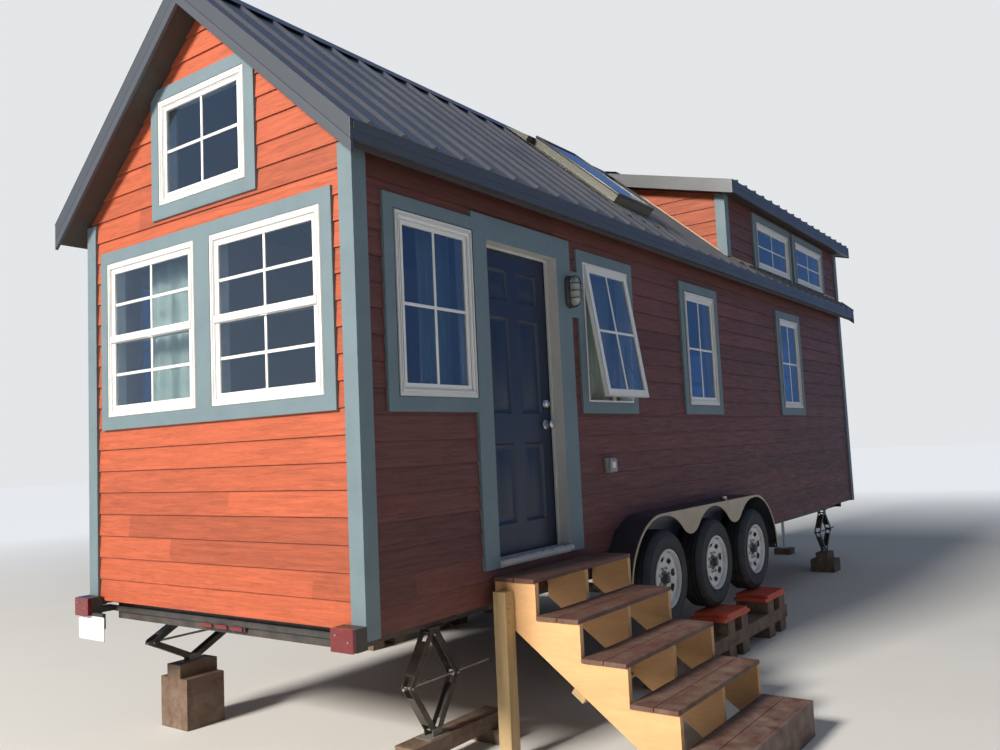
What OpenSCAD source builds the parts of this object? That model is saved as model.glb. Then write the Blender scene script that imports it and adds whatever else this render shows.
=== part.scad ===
// A tiny house on a triple-axle trailer, in millimetres.
// X runs from the tail lights to the tongue, Y from the door side to the far side, Z up from the floor.
// Sizes are measured from the rear corner of the door-side wall, on the ground;
// seat() puts the origin under the middle of the outline.

/* [House] */
// Length of the house over its end walls
house_length = 9392; // [8600:1:11000]
// Width of the house over its side walls
house_width = 2534; // [2300:1:2800]
// Thickness of every outer wall
wall_depth = 122; // [110:1:140]
// Height of the side walls' bottom edge above the ground
wall_bottom = 890; // [860:1:940]
// Height of the rear and front walls' bottom edge
end_wall_bottom = 932; // [900:1:950]
// Height of the floor's walking surface
floor_top = 1110; // [1080:1:1125]
// Thickness of the floor
floor_depth = 150; // [120:1:160]

/* [Roof] */
// Height of the roof deck's outer edge above the heads of the side windows
eave_rise = 361; // [322:1:402]
// Height of the ridge above the roof deck's outer edge
roof_rise = 1256; // [1150:1:1400]
// Overhang of the roof beyond the side walls
eave_out = 154; // [130:1:180]
// Overhang of the roof beyond the end walls
rake_out = 156; // [130:1:190]
// Thickness of the roof deck, square to the slope
roof_depth = 120; // [90:1:130]
// Thickness of the roof's metal sheet
sheet_depth = 3; // [2:0.5:6]
// Distance from one rib of the metal roof to the next
rib_pitch = 260; // [200:1:320]
// Height of a rib above the sheet
rib_height = 20; // [10:1:26]
// Width of a rib at its foot
rib_foot = 56; // [40:1:70]
// Width of a rib at its top
rib_top = 22; // [12:1:34]
// Half width of the ridge cap, measured along the slope
ridge_cap_width = 165; // [120:1:220]
// Depth of the boards along the eaves
eave_board_depth = 128; // [100:1:140]
// Depth of the boards along the rakes, square to the slope
rake_board_depth = 132; // [100:1:150]
// Thickness of the roof's edge boards
edge_board = 22; // [16:1:30]

/* [Dormers] */
// From the rear wall to the dormers' rear cheek, as a share of the house's length
dormer_start_share = 0.5643; // [0.54:0.0001:0.59]
// Height of the dormer deck's outer edge above the eaves, as a share of the ridge's
dormer_edge_share = 0.7; // [0.66:0.001:0.74]
// Thickness of the dormer's cheek wall
cheek_depth = 110; // [90:1:140]
// Width of a dormer window's opening
dormer_width = 1120; // [900:1:1200]
// Height of a dormer window's opening, as a share of the dormer's height over the eaves
dormer_height_share = 0.59; // [0.45:0.001:0.6]
// Height of a dormer window's sill above the eaves
dormer_sill_rise = 150; // [145:1:170]
// From the rear wall to the middle of the dormer windows, as a share of the house's length
dormer_middle_share = 0.79; // [0.78:0.0001:0.8]
// Spacing of the two dormer windows
dormer_spacing = 1376; // [1340:1:1450]

/* [Windows] */
// Width of a side window's opening
side_width = 696; // [560:1:720]
// Height of a side window's opening
side_height = 1032; // [800:1:1050]
// Height of the side windows' sill
side_sill = 2126; // [2080:1:2160]
// Middle of the window left of the door
window_a = 632; // [616:1:644]
// Middle of the first window right of the door
window_b = 2661; // [2632:1:2732]
// Middle of the window over the rear wheel
window_c = 4454; // [4272:1:4672]
// Middle of the window at the front, as a share of the house's length
window_d_share = 0.7535; // [0.7:0.0001:0.79]
// Width of one window of the pair in the end walls
pair_width = 966; // [800:1:980]
// Spacing of that pair
pair_spacing = 1120; // [1080:1:1160]
// Width of the small window in the gable
gable_width = 860; // [600:1:900]
// Height of the small window in the gable, as a share of the roof's rise
gable_height_share = 0.5446; // [0.4:0.0001:0.55]
// How far that window's sill lies below the eaves
gable_sill_drop = 64; // [59:1:110]
// Width of the flat boards round the windows
casing_width = 86; // [70:1:92]
// Thickness of the flat boards round the windows
casing_depth = 28; // [20:1:36]
// Face width of a window's fixed frame
frame_face = 38; // [25:1:48]
// Depth of a window's fixed frame
frame_depth = 84; // [70:1:100]
// Face width of a window's sash
sash_face = 54; // [30:1:60]
// Thickness of a sash
sash_depth = 30; // [24:1:34]
// Thickness of the window panes
pane_depth = 8; // [4:1:14]
// Angle at which the awning window stands open
awning_angle = 8.5; // [3:0.5:12]

/* [Skylight] */
// From the rear wall to the skylight
sky_start = 3298; // [2772:1:4172]
// Width of the skylight
sky_width = 660; // [500:1:800]
// Length of the skylight up the slope
sky_length = 1060; // [800:1:1150]
// Distance up the slope from the eave to the skylight
sky_offset = 490; // [420:1:540]
// Height of the skylight's curb above the deck
sky_height = 92; // [70:1:120]
// Thickness of the skylight's curb
skylight_curb = 46; // [35:1:60]

/* [Door] */
// From the rear wall to the doorway's hinge side
door_start = 1129; // [1117:1:1142]
// Clear width of the doorway
door_width = 817; // [760:1:830]
// Clear height of the doorway above its threshold
door_height = 1990; // [1900:1:2000]
// Thickness of the door leaf
leaf_depth = 44; // [36:1:50]
// Distance from the outer wall face to the door leaf
door_recess = 75; // [66:1:76]
// Gap between the leaf and its frame
door_gap = 5; // [5:0.5:7]
// Thickness of the door frame
jamb_depth = 30; // [24:1:36]
// Thickness of the threshold
sill_depth = 26; // [20:1:28]
// Width of the board left and above the doorway
door_casing_width = 156; // [120:1:170]
// Width of the board right of the doorway
door_casing_right = 184; // [120:1:200]
// Height of the knob above the threshold
knob_height = 830; // [780:1:900]
// Distance between the knob and the lock above it
lock_spacing = 142; // [120:1:170]
// Distance from the leaf's edge to the knob
knob_backset = 70; // [60:1:90]

/* [Trailer] */
// Height of the underside of the trailer's frame
frame_low = 800; // [790:1:820]
// Distance from the side walls to the middle of the main rails
rail_inset = 235; // [215:1:270]
// Width of a main rail
rail_width = 78; // [70:1:84]
// Thickness of the frame's flanges and webs
frame_plate = 9; // [6:1:12]
// Width of a cross member
cross_width = 60; // [50:1:80]
// Number of cross members between the rails
cross_count = 13; // [9:1:16]
// How far the tongue reaches past the front wall
tongue_length = 1280; // [1150:1:1500]
// Thickness of the coupler's walls
coupler_wall = 8; // [6:1:10]

/* [Wheels] */
// From the rear wall to the middle wheel
middle_wheel = 4009; // [3922:1:4072]
// Distance from one axle to the next
axle_spacing = 964; // [930:1:990]
// Height of the axles above the ground
axle_height = 755; // [740:1:765]
// Radius of a tyre
tyre_radius = 376; // [365:1:385]
// Width of a tyre
tyre_width = 225; // [210:1:230]
// Distance from the side wall to the tyre's outer side
wheel_reach = 228; // [222:1:240]
// Radius of the rim's flange
rim_radius = 224; // [216:1:230]
// Radius of the hub's bore
bore_radius = 25.5; // [20:0.5:30]
// Clearance between a shaft and its bore
shaft_gap = 0.3; // [0.2:0.1:0.4]
// Clearance between a tyre and what it stands on
seat_gap = 0.3; // [0.2:0.1:0.5]

/* [Fenders] */
// Half of a fender's length
fender_half = 1575; // [1565:1:1600]
// Height of a fender's top
fender_top = 1262; // [1250:1:1290]
// Height of a fender's ends
fender_bottom = 700; // [690:1:760]
// Radius of a fender's shoulders
fender_radius = 561; // [520:1:562]
// Thickness of a fender's sheet
fender_plate = 6; // [4:1:10]
// How far the fenders are centred behind the middle wheel
fender_setback = 45; // [0:1:50]
// Width of a fender's rim round its openings
fender_rim = 21; // [15:1:30]
// Height of the skirt's scallops between the wheels
scallop_bottom = 1056; // [1030:1:1080]

/* [Stairs] */
// From the rear wall to the stairs
stair_start = 1048; // [1032:1:1072]
// Width of the stairs
stair_width = 1212; // [1100:1:1240]
// Height of the top tread
stair_top = 1049; // [1000:1:1080]
// Number of treads
tread_count = 5; // [4:1:5]
// Depth of one tread from the next
tread_run = 289; // [275:1:300]
// Width of one board of a tread
tread_board = 140; // [130:1:145]
// Gap between the two boards of a tread
tread_gap = 4; // [3:0.5:6]
// Thickness of a tread board
tread_depth = 25; // [20:1:30]
// Thickness of a stringer
stringer_width = 38; // [32:1:45]
// Depth of the stringers below their notches, measured straight down
stringer_throat = 182; // [150:1:200]
// Distance from the tread's end to the outer stringers
stringer_inset = 12; // [6:1:20]
// Width of the square post beside the stairs
post_width = 89; // [80:1:100]
// Height of the post
post_height = 977; // [900:1:990]

/* [Jacks] */
// Distance between the two pivots of a jack's arm
jack_arm = 330; // [320:1:345]
// Half of the distance between the two pivots at the top and at the base
pivot_half = 25; // [25:0.5:28]
// Distance from the frame, or from the block, to the nearest pivots
pivot_drop = 35; // [34:0.5:40]
// Half of the height of an arm
jack_arm_half = 20; // [16:0.5:21]
// Half of the width over an upper arm
arm_width_half = 35; // [34:0.5:38]
// Thickness of a jack's plates
jack_plate = 4; // [3:0.5:5]
// Radius of the jack's pins
jack_pin = 6; // [5:0.5:7]
// Radius of the jack's screw
screw_radius = 8; // [7:0.5:9]
// From the rear wall to the jack on the door side
door_jack_place = 752; // [732:1:792]
// Height of the block under that jack
door_jack_seat = 175; // [165:1:200]
// From the rear wall to the jack on the far side
far_jack_place = 572; // [552:1:612]
// Height of the blocks under that jack
far_jack_seat = 429; // [400:1:440]
// From the front wall to the front jacks
front_jack_inset = 640; // [600:1:700]
// Height of the blocks under the front jacks
front_jack_seat = 250; // [230:1:300]

/* [Blocks] */
// Thickness of one orange levelling pad
pad_depth = 28; // [20:1:35]
// Length of one orange levelling pad
pad_length = 560; // [500:1:580]
// Width of one orange levelling pad
pad_width = 300; // [280:1:320]
// Width of a timber sleeper
sleeper_width = 150; // [120:1:155]
// Thickness of the timber right under a jack
block_depth = 90; // [80:1:100]

/* [Hidden] */
$fn = 48;

// Overrun of every cut past the face that it cuts
over = 1;
half_width = house_width / 2;
eave_height = side_sill + side_height + eave_rise;
ridge_height = eave_height + roof_rise;
dormer_edge = eave_height + dormer_edge_share * roof_rise;
dormer_start = dormer_start_share * house_length;
dormer_middle = dormer_middle_share * house_length;
window_d = window_d_share * house_length;

// Slopes of the main roof and of the dormers, and the height of their upper faces over a place y
roof_slope = (ridge_height - eave_height) / (half_width + eave_out);
roof_angle = atan(roof_slope);
roof_drop = roof_depth / cos(roof_angle);
dormer_slope = (ridge_height - dormer_edge) / (half_width + eave_out);
dormer_angle = atan(dormer_slope);
dormer_drop = roof_depth / cos(dormer_angle);
function roof_at(y) = eave_height + (y + eave_out) * roof_slope;
function under_roof(y) = roof_at(y) - roof_drop;
function dormer_at(y) = dormer_edge + (y + eave_out) * dormer_slope;
function under_dormer(y) = dormer_at(y) - dormer_drop;
function wall_top(y) = under_roof(y) - seat_gap;
function dormer_top(y) = under_dormer(y) - seat_gap;
roof_front = house_length + rake_out;
dormer_rear = dormer_start - rake_out;

// The sheet's lift above the deck with its ribs, measured straight up
sheet_lift = (sheet_depth + rib_height + seat_gap) / cos(roof_angle);

frame_top = floor_top - floor_depth;
frame_height = frame_top - frame_low;
tongue_tip = house_length + tongue_length;
door_end = door_start + door_width;
sill_top = floor_top + sill_depth;
door_head = sill_top + door_height;
stair_rise = stair_top / tread_count;
stair_reach = tread_count * tread_run;
// Distance from the tyre's outer side to the fender's skirt
skirt_gap = 8;
fender_reach = wheel_reach + skirt_gap + fender_plate;
// Reach of the levelling pads past the tyre's outer side
pad_overhang = 185;
pad_reach = wheel_reach + pad_overhang;
// Thickness of the board that closes the lowest step
riser_board = tread_depth;

// The outline's middle, from which the origin is measured
outline_rear = -(rake_out + edge_board);
outline_front = tongue_tip;
outline_door_side = -(casing_depth + stair_reach + riser_board);
outline_far_side = house_width + max(fender_reach, pad_reach);

module seat() {
  translate([-(outline_rear + outline_front) / 2, -(outline_door_side + outline_far_side) / 2, 0])
    children();
}

// A box from one corner to the other
module span(low, high) {
  translate(low) cube(high - low);
}

// A profile drawn in Y and Z, carried from x0 to x1
module along_x(x0, x1) {
  translate([x0, 0, 0]) rotate([90, 0, 90]) linear_extrude(x1 - x0) children();
}

// A profile drawn in X and Z, carried from y0 to y1
module along_y(y0, y1) {
  translate([0, y1, 0]) rotate([90, 0, 0]) linear_extrude(y1 - y0) children();
}

// The same on the far side of the house
module far_side() {
  translate([0, house_width, 0]) mirror([0, 1, 0]) children();
}

module both() {
  children();
  far_side() children();
}

// The same on the front wall
module front_end() {
  translate([house_length, 0, 0]) mirror([1, 0, 0]) children();
}

// A place on the main roof's door side: X along the house, Y up the slope, Z square to the deck
module on_slope() {
  translate([0, -eave_out, eave_height]) rotate([roof_angle, 0, 0]) children();
}

module on_dormer_slope() {
  translate([0, -eave_out, dormer_edge]) rotate([dormer_angle, 0, 0]) children();
}
slope_length = (half_width + eave_out) / cos(roof_angle);
dormer_slope_length = (half_width + eave_out) / cos(dormer_angle);

// Windows: every one as [middle along the wall, sill, width, height]
side_windows = [for (x = [window_a, window_b, window_c, window_d])
  [x, side_sill, side_width, side_height]];
dormer_windows = [for (side = [-1, 1])
  [dormer_middle + side * dormer_spacing / 2, eave_height + dormer_sill_rise,
   dormer_width, dormer_height_share * (dormer_edge - eave_height)]];
// Step from the side windows' sill to the pair's sill
pair_sill_step = 15;
pair_windows = [for (side = [-1, 1])
  [half_width + side * pair_spacing / 2, side_sill + pair_sill_step,
   pair_width, side_height]];
gable_window = [half_width, eave_height - gable_sill_drop, gable_width, gable_height_share * roof_rise];
end_windows = concat(pair_windows, [gable_window]);

// Window opening through a wall, drawn in the wall's plane
module opening(w) {
  translate([w[0] - w[2] / 2, w[1]]) square([w[2], w[3]]);
}

module openings(list) {
  for (w = list) opening(w);
}

// Flat boards round one window, drawn in the wall's plane
module casing_outline(w) {
  difference() {
    translate([w[0] - w[2] / 2 - casing_width, w[1] - casing_width])
      square([w[2] + 2 * casing_width, w[3] + 2 * casing_width]);
    opening(w);
  }
}

// One ring of a window's frame or sash, drawn in the wall's plane, with a rail across it if asked
module ring_outline(w, inset, face, rail) {
  difference() {
    translate([w[0] - w[2] / 2 + inset, w[1] + inset]) square([w[2] - 2 * inset, w[3] - 2 * inset]);
    translate([w[0] - w[2] / 2 + inset + face, w[1] + inset + face])
      square([w[2] - 2 * (inset + face), w[3] - 2 * (inset + face)]);
  }
  if (rail) {
    translate([w[0] - w[2] / 2 + inset + face / 2, w[1] + w[3] / 2 - face / 2])
      square([w[2] - 2 * inset - face, face]);
  }
}

// Walls

module side_wall_profile() {
  polygon([[0, wall_bottom], [wall_depth, wall_bottom], [wall_depth, wall_top(wall_depth)],
    [0, wall_top(0)]]);
}

// One stretch of side wall with its windows cut through
module side_wall(x0, x1, windows) {
  difference() {
    along_x(x0, x1) side_wall_profile();
    along_y(-over, wall_depth + over) openings(windows);
    along_y(-over, fender_depth + seat_gap) fender_outline(-seat_gap);
  }
}

module door_wall_rear() {
  color("sienna") seat() side_wall(wall_depth, door_start - jamb_depth, [side_windows[0]]);
}

module door_wall_middle() {
  color("sienna") seat() {
    intersection() {
      along_x(door_start - jamb_depth, door_end + jamb_depth) side_wall_profile();
      span([door_start - jamb_depth, 0, door_head + jamb_depth],
        [door_end + jamb_depth, wall_depth, roof_at(wall_depth)]);
    }
    span([door_start - jamb_depth, 0, wall_bottom],
      [door_end + jamb_depth, wall_depth, floor_top - sill_drop]);
  }
}

module door_wall_front() {
  color("sienna") seat() side_wall(door_end + jamb_depth, house_length - wall_depth,
    [for (i = [1:3]) side_windows[i]]);
}

module far_wall() {
  color("sienna") seat() far_side() side_wall(wall_depth, house_length - wall_depth, side_windows);
}

module rear_wall() {
  color("chocolate") seat() difference() {
    along_x(0, wall_depth)
      polygon([[0, end_wall_bottom], [house_width, end_wall_bottom], [house_width, wall_top(0)],
        [half_width, wall_top(half_width)], [0, wall_top(0)]]);
    along_x(-over, wall_depth + over) openings(end_windows);
  }
}

module front_wall() {
  color("chocolate") seat() difference() {
    along_x(house_length - wall_depth, house_length)
      polygon([[0, end_wall_bottom], [house_width, end_wall_bottom], [house_width, dormer_top(0)],
        [half_width, dormer_top(half_width)], [0, dormer_top(0)]]);
    along_x(house_length - wall_depth - over, house_length + over) openings(end_windows);
  }
}

module dormer_walls() {
  color("chocolate") seat() {
    both() difference() {
      along_x(dormer_start, house_length - wall_depth)
        polygon([[0, under_roof(0)], [wall_depth, under_roof(wall_depth)],
          [wall_depth, dormer_top(wall_depth)], [0, dormer_top(0)]]);
      along_y(-over, wall_depth + over) openings(dormer_windows);
    }
    both() along_x(dormer_start, dormer_start + cheek_depth)
      polygon([[0, under_roof(0)], [0, dormer_top(0)], [half_width, dormer_top(half_width)],
        [half_width, under_roof(half_width)]]);
  }
}

module floor() {
  color("burlywood") seat() span([wall_depth, wall_depth, frame_top],
    [house_length - wall_depth, house_width - wall_depth, floor_top]);
}

// Roof

sky_end = sky_start + sky_width;
module sky_hole(depth, height) {
  on_slope() span([sky_start, sky_offset, -depth],
    [sky_end, sky_offset + sky_length, height]);
}

// Space over the main slope, with the ribs of its sheet, where the dormer's overhang stops
module under_main_slope() {
  both() along_x(dormer_rear - over, dormer_start)
    polygon([[-2 * eave_out, eave_height - roof_drop], [half_width, under_roof(half_width)],
      [half_width, ridge_height + sheet_lift], [-2 * eave_out, roof_at(-2 * eave_out) + sheet_lift]]);
}

module roof_deck() {
  color("tan") seat() {
    difference() {
      both() along_x(-rake_out, dormer_start)
        polygon([[-eave_out, eave_height], [half_width, ridge_height],
          [half_width, under_roof(half_width)], [-eave_out, eave_height - roof_drop]]);
      sky_hole(2 * roof_depth, over);
    }
    both() along_x(dormer_start - over, roof_front)
      polygon([[-eave_out, eave_height], [0, roof_at(0)], [0, under_roof(0)],
        [-eave_out, eave_height - roof_drop]]);
  }
}

module dormer_deck() {
  color("tan") seat() difference() {
    both() along_x(dormer_rear, roof_front)
      polygon([[-eave_out, dormer_edge], [half_width, ridge_height],
        [half_width, under_dormer(half_width)], [-eave_out, dormer_edge - dormer_drop]]);
    under_main_slope();
  }
}

// Ribbed sheet that lies on Z = 0 from x0 to x1, its ribs running up the slope from y0 to y1
module ribbed_sheet(x0, x1, y0, y1) {
  count = floor((x1 - x0 - rib_foot) / rib_pitch);
  margin = (x1 - x0 - count * rib_pitch) / 2;
  translate([0, y1, seat_gap]) rotate([90, 0, 0]) linear_extrude(y1 - y0)
    polygon(concat([[x0, 0], [x0, sheet_depth]],
      [for (i = [0:count], p = [[-rib_foot / 2, 0], [-rib_top / 2, rib_height],
        [rib_top / 2, rib_height], [rib_foot / 2, 0]])
        [x0 + margin + i * rib_pitch + p[0], sheet_depth + p[1]]],
      [[x1, sheet_depth], [x1, 0]]));
}

// How far the sheets stop short of the ridge, under the cap
ridge_stop = 40;
// How far the sheets reach past the edge boards
sheet_lip = 5;
function sheet_reach(angle) = (edge_board + sheet_lip) / cos(angle);
module roof_sheets() {
  first = -rake_out - edge_board;
  last = roof_front + edge_board;
  color("dimgray") seat() {
    both() on_slope()
      ribbed_sheet(dormer_start, last, -sheet_reach(roof_angle), (eave_out - casing_depth) / cos(roof_angle));
    on_slope() difference() {
      ribbed_sheet(first, dormer_start - over, -sheet_reach(roof_angle), slope_length - ridge_stop);
      span([sky_start, sky_offset, -over],
        [sky_end, sky_offset + sky_length, rib_height + 2 * sheet_depth]);
    }
    far_side() on_slope()
      ribbed_sheet(first, dormer_start - over, -sheet_reach(roof_angle), slope_length - ridge_stop);
    both() difference() {
      on_dormer_slope() ribbed_sheet(dormer_rear - edge_board, last, -sheet_reach(dormer_angle),
        dormer_slope_length - ridge_stop);
      translate([-edge_board, 0, 0]) under_main_slope();
      under_main_slope();
    }
  }
}

// Thickness of the folded metal along ridge and rakes
cap_depth = 4;
// Cap that lies on the ribs over the ridge, for a slope of the given angle
module cap_profile(angle) {
  lift = (sheet_depth + rib_height + 2 * seat_gap) / cos(angle);
  reach = ridge_cap_width * cos(angle);
  drop = ridge_cap_width * sin(angle);
  polygon([[half_width - reach, ridge_height + lift - drop], [half_width, ridge_height + lift],
    [half_width + reach, ridge_height + lift - drop],
    [half_width + reach, ridge_height + lift - drop + cap_depth],
    [half_width, ridge_height + lift + cap_depth],
    [half_width - reach, ridge_height + lift - drop + cap_depth]]);
}

module ridge_cap() {
  color("dimgray") seat() {
    along_x(-rake_out - edge_board, dormer_rear - edge_board) cap_profile(roof_angle);
    along_x(dormer_rear - edge_board, roof_front + edge_board) cap_profile(dormer_angle);
  }
}

// One board under the roof's edge along a rake, from the eave board's face to the ridge
edge_face = -eave_out - edge_board;
module rake_board(x0, x1, at_edge, at_ridge, drop) {
  along_x(x0, x1)
    polygon([[edge_face, at_edge], [half_width, at_ridge], [half_width, at_ridge - drop],
      [edge_face, at_edge - drop]]);
}
rake_drop = rake_board_depth / cos(roof_angle);
dormer_rake_drop = rake_board_depth / cos(dormer_angle);

module rake_boards() {
  color("slategray") seat() {
    both() {
      rake_board(-rake_out - edge_board, -rake_out, roof_at(edge_face), ridge_height, rake_drop);
      rake_board(roof_front, roof_front + edge_board, dormer_at(edge_face), ridge_height,
        dormer_rake_drop);
      along_x(roof_front, roof_front + edge_board)
        polygon([[edge_face, roof_at(edge_face)], [0, roof_at(0)], [0, roof_at(0) - rake_drop],
          [edge_face, roof_at(edge_face) - rake_drop]]);
    }
    difference() {
      both() rake_board(dormer_rear - edge_board, dormer_rear, dormer_at(edge_face),
        ridge_height, dormer_rake_drop);
      translate([-edge_board, 0, 0]) under_main_slope();
    }
  }
}

// One eave board, its top cut to the slope so that the metal lies on it
module eave_board(x0, at_face, at_deck) {
  along_x(x0, roof_front)
    polygon([[edge_face, at_face], [-eave_out, at_deck], [-eave_out, at_deck - eave_board_depth],
      [edge_face, at_deck - eave_board_depth]]);
}

module eave_boards() {
  color("slategray") seat() both() {
    eave_board(-rake_out, roof_at(edge_face), eave_height);
    eave_board(dormer_rear, dormer_at(edge_face), dormer_edge);
  }
}

// Trim

// Width of the boards at the corners of the walls
corner_width = 104;
// How far the corner boards hang below the side walls
board_hang = 6;
module corner_boards() {
  low = wall_bottom - board_hang;
  over_roof = roof_at(-casing_depth) + sheet_lift;
  color("lightslategray") seat() both() {
    side_board(0, 1, low, under_roof(-casing_depth));
    side_board(house_length, -1, low, under_roof(-casing_depth));
    side_board(house_length, -1, over_roof, under_dormer(-casing_depth));
    side_board(dormer_start, 1, over_roof, under_dormer(-casing_depth));
    along_x(-casing_depth, 0) end_board(low, low, under_roof(-casing_depth));
    along_x(house_length, house_length + casing_depth) {
      end_board(low, low, under_roof(-casing_depth));
      end_board(over_roof, over_roof, under_dormer(-casing_depth));
      translate([0, low]) square([corner_width - casing_depth, under_dormer(0) - low]);
    }
    along_x(dormer_start - casing_depth, dormer_start)
      end_board(over_roof, roof_at(corner_width - casing_depth) + sheet_lift,
        under_dormer(-casing_depth));
  }
}

// Board on the side wall from a corner at x, running along the wall in the given sense
module side_board(x, sense, z0, z1) {
  side_end = x + sense * (corner_width - casing_depth);
  outer = x - sense * casing_depth;
  span([min(outer, side_end), -casing_depth, z0], [max(outer, side_end), 0, z1]);
}

// Board on the end wall beside it, its foot cut to a slope if asked
module end_board(z0, z0_inner, z1) {
  polygon([[-casing_depth, z0], [corner_width - casing_depth, z0_inner],
    [corner_width - casing_depth, z1], [-casing_depth, z1]]);
}

// Edges of the door's boards along the wall, kept off the windows beside it
door_casing_start = max(door_start - door_casing_width, window_a + side_width / 2);
door_casing_end = min(door_end + door_casing_right, window_b - side_width / 2);

// Board behind the lamp, out to the next window: its foot and its height
lamp_board_start = 2731;
lamp_board_height = 335;
module window_casings() {
  color("slategray") seat() {
    along_y(-casing_depth, 0) difference() {
      union() for (w = side_windows) casing_outline(w);
      translate([door_casing_start, 0])
        square([door_casing_end - door_casing_start, door_head + door_casing_width]);
    }
    span([door_casing_end, -casing_depth, lamp_board_start],
      [window_b - side_width / 2 - casing_width, 0, lamp_board_start + lamp_board_height]);
    far_side() along_y(-casing_depth, 0) for (w = side_windows) casing_outline(w);
    both() along_y(-casing_depth, 0) for (w = dormer_windows) dormer_casing_outline(w);
    along_x(-casing_depth, 0) end_casing_outline(true);
    along_x(house_length, house_length + casing_depth) end_casing_outline(false);
  }
}

// The dormer windows' boards stop at the roof below them
module dormer_casing_outline(w) {
  intersection() {
    casing_outline(w);
    translate([dormer_start, roof_at(-casing_depth) + sheet_lift])
      square([house_length - dormer_start, under_dormer(-casing_depth) - roof_at(-casing_depth)]);
  }
}

// Boards round the pair and the small window of an end wall, cut off below the rakes
module end_casing_outline(steep) {
  union() {
    difference() {
      translate([half_width - pair_spacing / 2 - pair_width / 2 - casing_width,
        side_sill + pair_sill_step - casing_width])
        square([pair_spacing + pair_width + 2 * casing_width,
          side_height + 2 * casing_width]);
      openings(pair_windows);
    }
    intersection() {
      casing_outline(gable_window);
      gable_outline(steep);
    }
  }
}

// The part of an end wall under its roof
module gable_outline(steep) {
  edge = steep ? wall_top(0) : dormer_top(0);
  top = steep ? wall_top(half_width) : dormer_top(half_width);
  polygon([[0, end_wall_bottom], [house_width, end_wall_bottom], [house_width, edge], [half_width, top],
    [0, edge]]);
}

// Windows

// Frame of one window: outer ring through the wall, and sash rings inside it
module frame_of(w, rail) {
  along_y(-frame_stand, frame_depth) ring_outline(w, 0, frame_face, rail);
  along_y(-sash_stand, sash_depth - sash_stand) ring_outline(w, frame_face / 2, sash_face, rail);
}
// How far a window's frame and its sashes stand out of the wall's face
frame_stand = casing_depth + 2;
sash_stand = 20;
pane_recess = (sash_depth - pane_depth) / 2 - sash_stand;
// Face width of the awning window's thin frame, and the play between it and its sash
awning_face = 12;
awning_gap = 6;

// Pane of one window, in two parts where a rail crosses it
module window_pane(w, inset, recess, rail) {
  along_y(recess, recess + pane_depth) difference() {
    translate([w[0] - w[2] / 2 + inset, w[1] + inset]) square([w[2] - 2 * inset, w[3] - 2 * inset]);
    if (rail) translate([w[0] - w[2] / 2, w[1] + w[3] / 2 - sash_face / 2]) square([w[2], sash_face]);
  }
}
fixed_inset = frame_face / 2 + sash_face;

module fixed_pane(w) {
  window_pane(w, fixed_inset, pane_recess, false);
}

module end_panes() {
  for (w = pair_windows) window_pane(w, fixed_inset, pane_recess, true);
  fixed_pane(gable_window);
}

// What is drawn on the door side, turned to face the rear
module rear_face() {
  mirror([1, 0, 0]) rotate([0, 0, 90]) children();
}

module window_frames() {
  color("white") seat() {
    for (i = [0, 2, 3]) frame_of(side_windows[i], false);
    along_y(-frame_stand, frame_depth) ring_outline(side_windows[1], 0, awning_face, false);
    far_side() for (w = side_windows) frame_of(w, false);
    both() for (w = dormer_windows) frame_of(w, false);
    rear_face() end_frames();
    front_end() rear_face() end_frames();
  }
}

module end_frames() {
  for (w = pair_windows) frame_of(w, true);
  frame_of(gable_window, false);
}

module window_panes() {
  color("lightblue", 0.5) seat() {
    for (i = [0, 2, 3]) fixed_pane(side_windows[i]);
    awning() window_pane(side_windows[1], awning_face + awning_gap + sash_face,
      (sash_depth - pane_depth) / 2 - frame_stand, false);
    far_side() for (w = side_windows) fixed_pane(w);
    both() for (w = dormer_windows) fixed_pane(w);
    rear_face() end_panes();
    front_end() rear_face() end_panes();
    on_slope() span([sky_start + skylight_curb / 2, sky_offset + skylight_curb / 2,
      sky_height], [sky_end - skylight_curb / 2,
      sky_offset + sky_length - skylight_curb / 2, sky_height + pane_depth]);
  }
}

// Swings what it holds out about the head of the awning window
awning_head = side_sill + side_height - awning_face;
awning_back = sash_depth - frame_stand;
module awning() {
  translate([0, awning_back, awning_head]) rotate([-awning_angle, 0, 0])
    translate([0, -awning_back, -awning_head]) children();
}

// Length of the awning window's hinge, and width of its bead
hinge_length = 520;
hinge_bead = 8;
module awning_sash() {
  color("white") seat() {
    awning() along_y(-frame_stand, -frame_stand + sash_depth)
      ring_outline(side_windows[1], awning_face + awning_gap, sash_face, false);
    span([window_b - hinge_length / 2, awning_back - hinge_bead, awning_head - awning_gap - over],
      [window_b + hinge_length / 2, awning_back, awning_head]);
  }
}

module skylight_curb() {
  color("gray") seat() on_slope() difference() {
    span([sky_start, sky_offset, -roof_depth],
      [sky_end, sky_offset + sky_length, sky_height]);
    span([sky_start + skylight_curb, sky_offset + skylight_curb, -roof_depth - over],
      [sky_end - skylight_curb, sky_offset + sky_length - skylight_curb,
       sky_height + over]);
  }
}

// Door

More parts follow.
